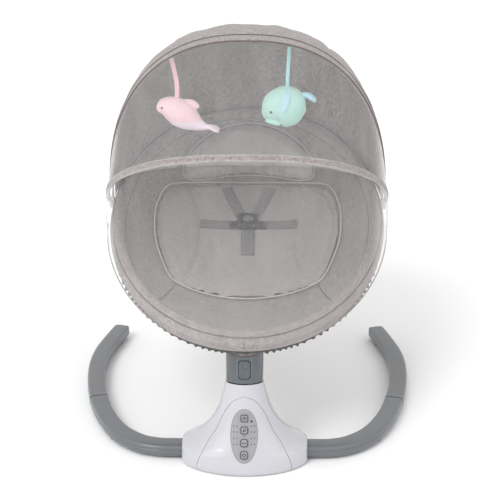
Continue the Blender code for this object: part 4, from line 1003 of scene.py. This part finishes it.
def toys():
    hook = toy_place(-0.1335)

    def at(x, z, y=0.0):
        return hook + Vector((x, y, z + 0.0135))
    body = [(at(-0.0300, -0.1010), 0.0020, 0.0020), (at(-0.0255, -0.1010), 0.0095, 0.0100),
            (at(-0.0130, -0.1000), 0.0185, 0.0180), (at(0.0020, -0.1050), 0.0235, 0.0215),
            (at(0.0180, -0.1150), 0.0255, 0.0215), (at(0.0340, -0.1260), 0.0195, 0.0170),
            (at(0.0480, -0.1340), 0.0110, 0.0110), (at(0.0600, -0.1375), 0.0052, 0.0070),
            (at(0.0680, -0.1390), 0.0040, 0.0060)]
    fin = [(at(0.0160, -0.0960), 0.0080, 0.0050), (at(0.0300, -0.0935), 0.0085, 0.0045),
           (at(0.0410, -0.0975), 0.0068, 0.0040), (at(0.0470, -0.1020), 0.0030, 0.0025)]
    tail = [(at(0.0620, -0.1375), 0.0045, 0.0085), (at(0.0700, -0.1385), 0.0040, 0.0150),
            (at(0.0780, -0.1420), 0.0038, 0.0160), (at(0.0830, -0.1450), 0.0028, 0.0110)]
    pink = blob("pink_toy_body", body, look["pink"], extra=[fin, tail])
    keep(pink, "pink_toy_body", "pink_plush", "pink_toy")
    ribbon("pink_toy_ribbon", [at(-0.002, -0.0095), at(0.003, -0.0300), at(0.008, -0.0600), at(0.007, -0.0900)],
           0.0040, look["pink_ribbon"], "pink_toy_body")
    eyes("pink_toy_eyes", pink, hook + Vector((-0.0190, 0, -0.0850)), 0.0024, "pink_toy_body", "pink_plush")

    hook = toy_place(0.0740)

    def by(x, z, y=0.0):
        return hook + Vector((x * 0.94, y * 0.94, (z + 0.118) * 0.94 - 0.109))
    body = [(by(-0.0440, -0.1400), 0.0040, 0.0050), (by(-0.0390, -0.1330), 0.0150, 0.0150),
            (by(-0.0250, -0.1210), 0.0300, 0.0270), (by(-0.0080, -0.1175), 0.0372, 0.0330),
            (by(0.0100, -0.1180), 0.0345, 0.0300), (by(0.0240, -0.1190), 0.0260, 0.0230),
            (by(0.0320, -0.1200), 0.0120, 0.0120), (by(0.0340, -0.1200), 0.0030, 0.0030)]
    lip = [(by(-0.0430, -0.1440), 0.0045, 0.0070), (by(-0.0300, -0.1450), 0.0075, 0.0150),
           (by(-0.0150, -0.1480), 0.0070, 0.0150)]
    teal = blob("teal_toy_body", body, look["teal"], extra=[lip])
    keep(teal, "teal_toy_body", "teal_plush", "teal_toy")
    tail = [(by(0.0200, -0.0985), 0.0060, 0.0060), (by(0.0330, -0.0945), 0.0052, 0.0065),
            (by(0.0420, -0.0980), 0.0058, 0.0110), (by(0.0520, -0.1060), 0.0040, 0.0080)]
    made = blob("teal_toy_tail", tail, look["teal_blue"])
    keep(made, "teal_toy_body", "teal_plush")
    for name, y in (("teal_toy_fin_front", -0.0335), ("teal_toy_fin_back", 0.0335)):
        leaf = [(by(-0.0010, -0.0790, y * 0.22), 0.0030, 0.0022), (by(-0.0020, -0.0860, y * 0.62), 0.0068, 0.0024),
                (by(-0.0050, -0.0980, y * 0.95), 0.0078, 0.0024), (by(-0.0080, -0.1110, y * 1.06), 0.0062, 0.0024),
                (by(-0.0095, -0.1190, y * 1.06), 0.0025, 0.0018)]
        made = blob(name, leaf, look["teal_blue"], 0.0012)
        keep(made, "teal_toy_body", "teal_plush")
    ribbon("teal_toy_ribbon", [by(0.001, -0.0010), by(0.0, -0.0250), by(-0.0015, -0.0550), by(-0.002, -0.0860)],
           0.0032, look["teal_ribbon"], "teal_toy_body")
    eyes("teal_toy_eyes", teal, hook + Vector((-0.0310, 0, -0.1130)), 0.0027, "teal_toy_body", "teal_plush")


def eyes(name, body, spot, radius, ride_on, slot):
    """An embroidered dot on each side of the head, laid on the plush skin."""
    bpy.context.view_layer.update()
    parts = []
    for way in (1, -1):
        found, point, normal, index = body.ray_cast(spot - Y * 0.1 * way, Y * way)
        if not found:
            continue
        side = normal.cross(Z).normalized()
        up = side.cross(normal)
        rows = []
        for ring in range(5):
            r = radius * cos(ring * pi / 8.4)
            rows.append([point + normal * (radius * 0.5 * sin(ring * pi / 8.4)) + side * (r * cos(2 * pi * k / 16))
                         + up * (r * sin(2 * pi * k / 16)) for k in range(17)])
        parts.append(grid("part", rows, look["eye"]))
    keep(joined(name, parts, look["eye"]), ride_on, slot)


# ---------------------------------------------------------------- housing
def housing_profile():
    return curve_through([Vector(section) for section in HOUSING], 8)


PROFILE = housing_profile()


def housing_size(height):
    for a, b in zip(PROFILE, PROFILE[1:]):
        if height <= b.x:
            t = max(0.0, (height - a.x) / (b.x - a.x))
            return a.y + (b.y - a.y) * t, a.z + (b.z - a.z) * t
    return PROFILE[-1].y, PROFILE[-1].z


def housing_point(height, half_width, half_depth, angle, end=HOUSING_END):
    tilt = SWING_TILT * max(0.0, height / SWING_HEIGHT) ** 2
    x = half_width * cos(angle)
    soft = 0.0012
    x = copysign(-soft * log(exp(-abs(x) / soft) + exp(-end / soft)), x) if abs(x) > 0.09 else x
    y = half_depth * sin(angle)
    return Vector((x, y * cos(tilt), height - y * sin(tilt)))


def housing_front(x, z):
    """A point of the housing's front at a place seen from the front, and the way out of it."""
    def point(px, pz):
        height = pz
        for _ in range(12):
            w, d = housing_size(height)
            tilt = SWING_TILT * max(0.0, height / SWING_HEIGHT) ** 2
            s = -sqrt(max(0.0, 1 - (px / w) ** 2))
            height = pz + d * s * sin(tilt)
        return Vector((px, d * s * cos(tilt), pz))
    here = point(x, z)
    across = point(x + 0.0008, z) - point(x - 0.0008, z)
    along = point(x, z + 0.0008) - point(x, z - 0.0008)
    return here, across.cross(along).normalized()


def cutter(rows, name="tool", material="white"):
    return outward(mesh_object(name, *closed_faces(rows, False), look[material], smooth=0))


def prism(name, outline_points, near, far):
    rows = [[Vector((x, y, z)) for x, z in outline_points] for y in (near, far)]
    return cutter(rows, name)


def arch_outline(shrink):
    half = curve_through([Vector((x, z, 0)) for x, z in ARCH], 8)
    half[0].y = -0.01
    right = []
    for i, p in enumerate(half):
        ahead, behind = half[min(i + 1, len(half) - 1)], half[max(i - 1, 0)]
        way = (ahead - behind).normalized()
        if i == len(half) - 1:
            way = Vector((-1, 0, 0))
        inwards = Vector((-way.y, way.x, 0))
        right.append((p.x + inwards.x * shrink, p.y + inwards.y * shrink))
    return right + [(-x, z) for x, z in reversed(right[:-1])]


def oval(grow, count=96):
    return [((PANEL_X + grow) * cos(2 * pi * i / count), PANEL_Z + (PANEL_H + grow) * sin(2 * pi * i / count))
            for i in range(count)]


def housing_skin(name, wall=0.0026):
    """The housing's thin wall, open at the bottom and at the neck."""
    outer = [[housing_point(s.x, s.y, s.z, 2 * pi * j / 220) for j in range(220)] for s in PROFILE]
    inner = [[housing_point(s.x, s.y - wall, s.z - wall, 2 * pi * j / 220, HOUSING_END - wall) for j in range(220)]
             for s in PROFILE]
    rows = outer + inner[::-1]
    return outward(mesh_object(name, *closed_faces(rows, True), look["white"]))


def housing():
    shell = housing_skin("housing_body")
    cut_by(shell, prism("tool", arch_outline(0.0), -0.12, -0.008))
    cover = housing_skin("housing_front_cover")
    boolean(cover, prism("keeper", arch_outline(0.0006), -0.13, -0.008), "INTERSECT")
    bpy.data.objects.remove(bpy.data.objects["keeper"])
    cut_by(cover, prism("tool", oval(0.0004), -0.13, -0.02))
    for made in (shell, cover):
        bevel_edges(made)
    ports = cut_tools_for_legs()
    cut_by(shell, *ports)
    keep(shell, "base", "housing_white", "housing_shell")
    keep(cover, "base", "housing_white", "front_cover")
    control_panel()


def bevel_edges(made):
    modified(made, "BEVEL", width=0.0005, segments=2, limit_method="ANGLE", angle_limit=radians(50),
             harden_normals=False)
    made.data.shade_smooth()
    made.data.set_sharp_from_angle(angle=radians(40))


def cut_tools_for_legs():
    tools = []
    for sign in (-1, 1):
        half_w, half_h = LEG_WIDTH / 2 + 0.0005, LEG_HEIGHT / 2 + 0.0005
        z = LEG_BOTTOM + LEG_HEIGHT / 2
        outline_points = [(-0.002 + half_w * copysign(abs(cos(a)) ** 0.45, cos(a)),
                           z + half_h * copysign(abs(sin(a)) ** 0.45, sin(a)))
                          for a in [2 * pi * k / 48 for k in range(48)]]
        tools.append(cutter([[Vector((sign * x, y, zz)) for y, zz in outline_points] for x in (0.09, 0.13)]))
    return tools


def on_front(name, outline_points, lift, material, crown=0.0, depth=0.0016):
    """A plate that follows the housing's front, from its outline (x, z) seen from the front."""
    cx = sum(p[0] for p in outline_points) / len(outline_points)
    cz = sum(p[1] for p in outline_points) / len(outline_points)
    rows = []
    for share, height in ((1.0, -depth), (1.0, -0.0003), (0.985, 0.0), (0.90, crown * 0.5), (0.7, crown * 0.8),
                          (0.45, crown), (0.2, crown), (0.001, crown)):
        row = []
        for px, pz in outline_points + outline_points[:1]:
            point, normal = housing_front(cx + (px - cx) * share, cz + (pz - cz) * share)
            row.append(point + normal * (lift + height))
        rows.append(row)
    return outward(grid(name, rows, material, smooth=40))


def front_stroke(points, width, lift=0.0):
    """A thin printed line on the front, from points (x, z)."""
    line = []
    for x, z in points:
        point, normal = housing_front(x, z)
        line.append(point + normal * lift)
    return tube("part", line, width, look["ink"], False, 6, 0.45, Y)


def rounded_square(cx, cz, half, corner=0.4, count=40):
    return [(cx + half * copysign(abs(cos(a)) ** corner, cos(a)), cz + half * copysign(abs(sin(a)) ** corner, sin(a)))
            for a in [2 * pi * (k + 0.5) / count for k in range(count)]]


def ring_of(cx, cz, radius, start=0.0, end=2 * pi, count=20):
    turns = [start + (end - start) * k / count for k in range(count + 1)]
    return [(cx + radius * cos(turn), cz + radius * sin(turn)) for turn in turns]


BUTTONS = {"timer_button": 0.0977, "music_button": 0.0781, "swing_button": 0.0578, "power_button": 0.0390}


def control_panel():
    plate = on_front("control_panel_plate", oval(0.0), 0.0003, look["panel"], 0.0001)
    keep(plate, "base", "panel_grey", "control_panel")
    rim = oval(-0.0004)
    line = front_stroke(rim + rim[:1], 0.0004, 0.0004)
    keep(joined("control_panel_edge", [line], look["panel"]), "base", "panel_grey")
    lift = 0.0024
    for name, z in BUTTONS.items():
        pad = on_front(f"{name}_cap", rounded_square(0, z, 0.0060), lift - 0.0003, look["panel"], 0.0002, 0.003)
        keep(pad, f"{name}_body", "panel_grey", name)
        outline_points = rounded_square(0, z, 0.0056)
        strokes = [front_stroke(outline_points + outline_points[:1], 0.00085, lift)]
        strokes += [front_stroke(points, 0.00072, lift) for points in icon(name, z)]
        print_on = joined(f"{name}_print", strokes, look["ink"])
        keep(print_on, f"{name}_body", "panel_grey")
    marks = []
    for x in (-0.0178, -0.0122, 0.0122, 0.0178):
        for z in (0.0837, 0.0746, 0.0643, 0.0551):
            marks.append(front_stroke([(x - 0.0006, z), (x + 0.0006, z)], 0.0014, 0.0004))
    for x, z, radius in ((0.0124, 0.0920, 0.0021), (0.0, 0.0687, 0.0012)):
        marks.append(front_stroke(ring_of(x, z, radius * 0.5, count=12), radius * 0.6, 0.0004))
    keep(joined("control_panel_marks", marks, look["ink"]), "base", "panel_grey")


def icon(name, z):
    """Plain icon strokes: a clock, a note, a two-way arrow and a power sign."""
    r = 0.0026
    if name == "timer_button":
        return [ring_of(0, z, r), [(0, z + r * 0.6), (0, z), (r * 0.5, z)]]
    if name == "music_button":
        return [[(-0.001, z - 0.0016), (-0.001, z + 0.0022), (0.0020, z + 0.0028), (0.0020, z - 0.0010)],
                ring_of(-0.0018, z - 0.0017, 0.0006, count=8), ring_of(0.0012, z - 0.0011, 0.0006, count=8)]
    if name == "swing_button":
        return [ring_of(0, z + 0.003, 0.0042, pi * 1.25, pi * 1.75, 10),
                [(-0.0031, z + 0.0014), (-0.0030, z - 0.0001), (-0.0016, z - 0.0001)],
                [(0.0031, z + 0.0014), (0.0030, z - 0.0001), (0.0016, z - 0.0001)]]
    return [ring_of(0, z, r, pi * 0.68, pi * 2.32), [(0, z + 0.0004), (0, z + 0.0032)]]


# ---------------------------------------------------------------- neck
def around_axis(up, radius, angle):
    return SWING_ORIGIN + AXIS * up + X * (radius * sin(angle)) - BACK * (radius * cos(angle))


def rounded_rectangle(half_x, half_y, corner, steps=8):
    result = []
    for quarter in range(4):
        cx = (half_x - corner) * (1, -1, -1, 1)[quarter]
        cy = (half_y - corner) * (1, 1, -1, -1)[quarter]
        for k in range(steps + 1):
            angle = pi / 2 * (quarter + k / steps)
            result.append((cx + corner * cos(angle), cy + corner * sin(angle)))
    return result


def neck():
    profile = [(0.0014, 0.0290), (0.0014, 0.0312), (0.0019, 0.0320), (0.0028, NECK_RADIUS - 0.0003),
               (0.030, NECK_RADIUS - 0.0001), (0.0572, NECK_RADIUS), (0.0580, NECK_RADIUS - 0.0008),
               (0.0580, 0.0293), (0.0080, 0.0290), (0.0014, 0.0290)]
    rows = [[around_axis(up, radius, 2 * pi * k / 128) for k in range(128)] for up, radius in profile[:-1]]
    sleeve = outward(mesh_object("neck_sleeve_body", *closed_faces(rows, True), look["neck"], smooth=35))

    def through(outline_points, inner, outer, up0):
        base = SWING_ORIGIN + AXIS * up0
        rows = [[base + X * a + AXIS * b - BACK * depth for a, b in outline_points] for depth in (inner, outer)]
        return cutter(rows, material="neck")

    cut_by(sleeve, through(rounded_rectangle(RELEASE_HALF_X + 0.0009, RELEASE_HALF_UP + 0.0009, 0.0063), 0.015,
                            0.045, RELEASE_UP),
           through([(-0.018, -0.014), (0.018, -0.014), (0.018, 0.02), (-0.018, 0.02)], -0.045, -0.020, 0.058))
    bevel_edges(sleeve)
    keep(sleeve, "swing_head", "neck_slate", "neck_sleeve")
    release_button()


def release_button():
    """The rounded slide button with its two finger dimples and the line between them."""
    outline_points = rounded_rectangle(RELEASE_HALF_X, RELEASE_HALF_UP, 0.0060, 10)
    rows = []
    for share, height in [(1.0, -0.0060), (1.0, -0.0010), (0.985, -0.0002), (0.95, 0.0003)] + \
            [(0.95 - 0.05 * k, None) for k in range(1, 19)] + [(0.002, None)]:
        row = []
        for a, b in outline_points + outline_points[:1]:
            px, pz = a * share, b * share
            z = height
            if z is None:
                dimple = sum(exp(-((px / 0.0058) ** 2 + ((pz - c) / 0.0044) ** 2) * 1.5) for c in (0.0078, -0.0078))
                line = exp(-(pz / 0.0008) ** 2) if abs(px) < 0.0085 else 0.0
                z = 0.0005 - 0.0024 * dimple - 0.0016 * line
            curve = NECK_RADIUS - sqrt(NECK_RADIUS ** 2 - px * px)
            base = SWING_ORIGIN + AXIS * (RELEASE_UP + pz) + X * px
            row.append(base - BACK * (NECK_RADIUS + 0.0003 + z - curve * 0.9))
        rows.append(row)
    made = outward(grid("release_button_cap", rows, look["neck"], smooth=50))
    keep(made, "release_button_body", "neck_slate", "release_button")


# ---------------------------------------------------------------- legs
def leg_outline():
    """The leg's section: flat top, a side groove and a rounded belly. x is outwards, z is up."""
    half_w, half_h = LEG_WIDTH / 2, LEG_HEIGHT / 2
    points = []
    for corner_x, corner_z, radius, start in ((half_w - 0.0055, half_h - 0.0055, 0.0055, 0.0),
                                              (-half_w + 0.0032, half_h - 0.0032, 0.0032, pi / 2),
                                              (-half_w + 0.0085, -half_h + 0.0085, 0.0085, pi),
                                              (half_w - 0.0085, -half_h + 0.0085, 0.0085, 3 * pi / 2)):
        steps = 6 if radius < 0.007 else 9
        for k in range(steps + 1):
            angle = start + pi / 2 * k / steps
            points.append((corner_x + radius * cos(angle), corner_z + radius * sin(angle)))
        if start == 0.0:
            points += [(0.006, half_h + 0.0003), (-0.006, half_h + 0.0003)]
    right = [(half_w, -0.0010), (half_w, 0.0012), (half_w - 0.0002, 0.0020), (half_w - 0.0009, 0.0026),
             (half_w - 0.0009, 0.0032), (half_w - 0.0002, 0.0038), (half_w, 0.0046)]
    return points + right


def leg_piece(name, sign, start, end, material, tip, lip):
    middle = curve_through([Vector((x, y, 0)) for x, y in LEG_LINE], 24)
    line = [p for p in middle if (p.y <= end if start is None else p.y >= start)]
    line = even(line, 0.0022) + [line[-1]]
    section = leg_outline()
    rows = []
    total = len(line)
    centre_z = LEG_BOTTOM + LEG_HEIGHT / 2
    length = [0.0]
    for a, b in zip(line, line[1:]):
        length.append(length[-1] + (b - a).length)
    for i, p in enumerate(line):
        ahead, behind = line[min(i + 1, total - 1)], line[max(i - 1, 0)]
        way = (ahead - behind).normalized()
        out = Vector((way.y, -way.x, 0))
        to_end, from_start = length[-1] - length[i], length[i]
        shrink_w = shrink_h = 0.0
        if tip and to_end < 0.0070:
            shrink_w = 0.0070 * (1 - sqrt(max(0.0, 1 - (1 - to_end / 0.0070) ** 2)))
        if tip and to_end < 0.0030:
            shrink_h = 0.0030 * (1 - sqrt(max(0.0, 1 - (1 - to_end / 0.0030) ** 2)))
        near_seam = from_start if start is not None else to_end
        step = -0.0007 * exp(-(near_seam / 0.0007) ** 2)
        grow = lip * (1 if near_seam < 0.012 else max(0.0, 1 - (near_seam - 0.012) / 0.02))
        fade = max(0.0, min(1.0, (0.155 - p.y) / 0.05)) if start is None else 0.0
        row = []
        for a, b in section:
            groove = 0.0
            if abs(a) > LEG_WIDTH / 2 - 0.00095 and 0.0011 < b < 0.0047 and a > 0:
                groove = (LEG_WIDTH / 2 - a) * (1 - fade)
            half_w = LEG_WIDTH / 2
            a2 = (a + groove) * (1 - shrink_w / half_w) + copysign(step + grow, a)
            b2 = b * (1 - shrink_h / (LEG_HEIGHT / 2)) + copysign(step + grow, b) * 0.8
            q = p + out * a2
            row.append(Vector((sign * q.x, q.y, centre_z + b2)))
        rows.append(row)
    return outward(mesh_object(name, *closed_faces(rows, False), material, smooth=38))


def legs():
    for side, sign in (("left", -1), ("right", 1)):
        front = leg_piece(f"front_leg_{side}_body", sign, None, LEG_SPLIT - 0.0003, look["slate"], False, 0.0005)
        keep(front, "base", "leg_slate", f"front_leg_{side}")
        rear = leg_piece(f"rear_leg_{side}_body", sign, LEG_SPLIT + 0.0003, None, look["slate"], True, 0.0)
        keep(rear, "base", "leg_slate", f"rear_leg_{side}")


# ---------------------------------------------------------------- CAD nodes that stay, and their finish
CAD_LOOKS = {
    "base_plate": "white", "bearing_carrier": "black", "lower_bearing": "steel", "upper_bearing": "steel",
    "drive_coil": "copper", "coil_mount": "black", "control_board": "board", "speaker": "black", "dc_socket": "black",
    "swing_shaft": "steel", "shaft_nut": "steel", "magnet_arm": "slate", "drive_magnet": "magnet",
    "recline_pin": "steel", "seat_bracket": "black", "front_tube_left": "tube", "front_tube_right": "tube",
    "rear_tube": "tube", "side_joint_left": "black", "side_joint_right": "black", "bow_pin_left": "steel",
    "bow_pin_right": "steel", "hood_bow": "steel", "net_bow": "steel", "buckle_body": "black",
    "buckle_button": "slate", "buckle_tongue_left": "black", "buckle_tongue_right": "black",
    "front_foot_left": "rubber", "front_foot_right": "rubber", "rear_foot_left": "rubber",
    "rear_foot_right": "rubber", "leg_snap_button_left": "slate", "leg_snap_button_right": "slate",
}


def finish_cad_nodes():
    for name, kind in CAD_LOOKS.items():
        node_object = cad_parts[name]
        for slot in node_object.material_slots:
            slot.link = "OBJECT"
            slot.material = look[kind]
        if not node_object.material_slots:
            node_object.data.materials.append(look[kind])


# ---------------------------------------------------------------- studio
def studio():
    scene = bpy.context.scene
    world = bpy.data.worlds.new("studio")
    scene.world = world
    world.use_nodes = True
    back = world.node_tree.nodes["Background"]
    back.inputs["Color"].default_value = (1.0, 1.0, 1.0, 1.0)
    back.inputs["Strength"].default_value = 0.97
    floor = mesh_object("floor", [Vector((-30, -30, -0.0002)), Vector((30, -30, -0.0002)), Vector((30, 30, -0.0002)),
                                  Vector((-30, 30, -0.0002))], [(0, 1, 2, 3)], floor_look())
    for name, kind, spot, size, power in (("key", "SUN", (-1.3, -1.5, 2.6), radians(26), 1.05),
                                          ("left", "AREA", (-1.7, -1.6, 1.4), 1.8, 7.0),
                                          ("right", "AREA", (1.8, -1.2, 1.2), 1.6, 3.5)):
        lamp = bpy.data.lights.new(name, kind)
        lamp.energy = power
        if kind == "SUN":
            lamp.angle = size
        else:
            lamp.shape = "DISK"
            lamp.size = size
        holder = bpy.data.objects.new(name, lamp)
        scene.collection.objects.link(holder)
        holder.location = spot
        holder.rotation_euler = (Vector((0, 0.2, 0.25)) - Vector(spot)).to_track_quat("-Z", "Y").to_euler()
    camera = bpy.data.cameras.new("camera")
    camera.sensor_width = 36.0
    camera.lens = 105.9
    camera.clip_end = 200.0
    holder = bpy.data.objects.new("camera", camera)
    scene.collection.objects.link(holder)
    target = Vector((0.0060, 0.23, 0.2975))
    azimuth, elevation, distance = radians(0.8), radians(22.0), 2.7
    holder.location = target + Vector((sin(azimuth) * cos(elevation), -cos(azimuth) * cos(elevation),
                                       sin(elevation))) * distance
    holder.rotation_euler = (target - holder.location).to_track_quat("-Z", "Y").to_euler()
    scene.camera = holder
    scene.view_settings.view_transform = "Standard"


def floor_look():
    material, tree, shader = new_look("floor_white", Roughness=0.75, Specular_IOR_Level=0.2)
    cloud = noisy(tree, place(tree, "Object"), 1.4, 3.0, 0.5)
    tree.links.new(ramp(tree, cloud, [(0.3, (0.93, 0.93, 0.93)), (0.7, (0.95, 0.95, 0.95))]),
                   shader.inputs["Base Color"])
    return material


studio()
finish_cad_nodes()
seat_cover()
rim_details()
front_tongue()
cushions()
harness()
hood()
net()
toys()
housing()
neck()
legs()
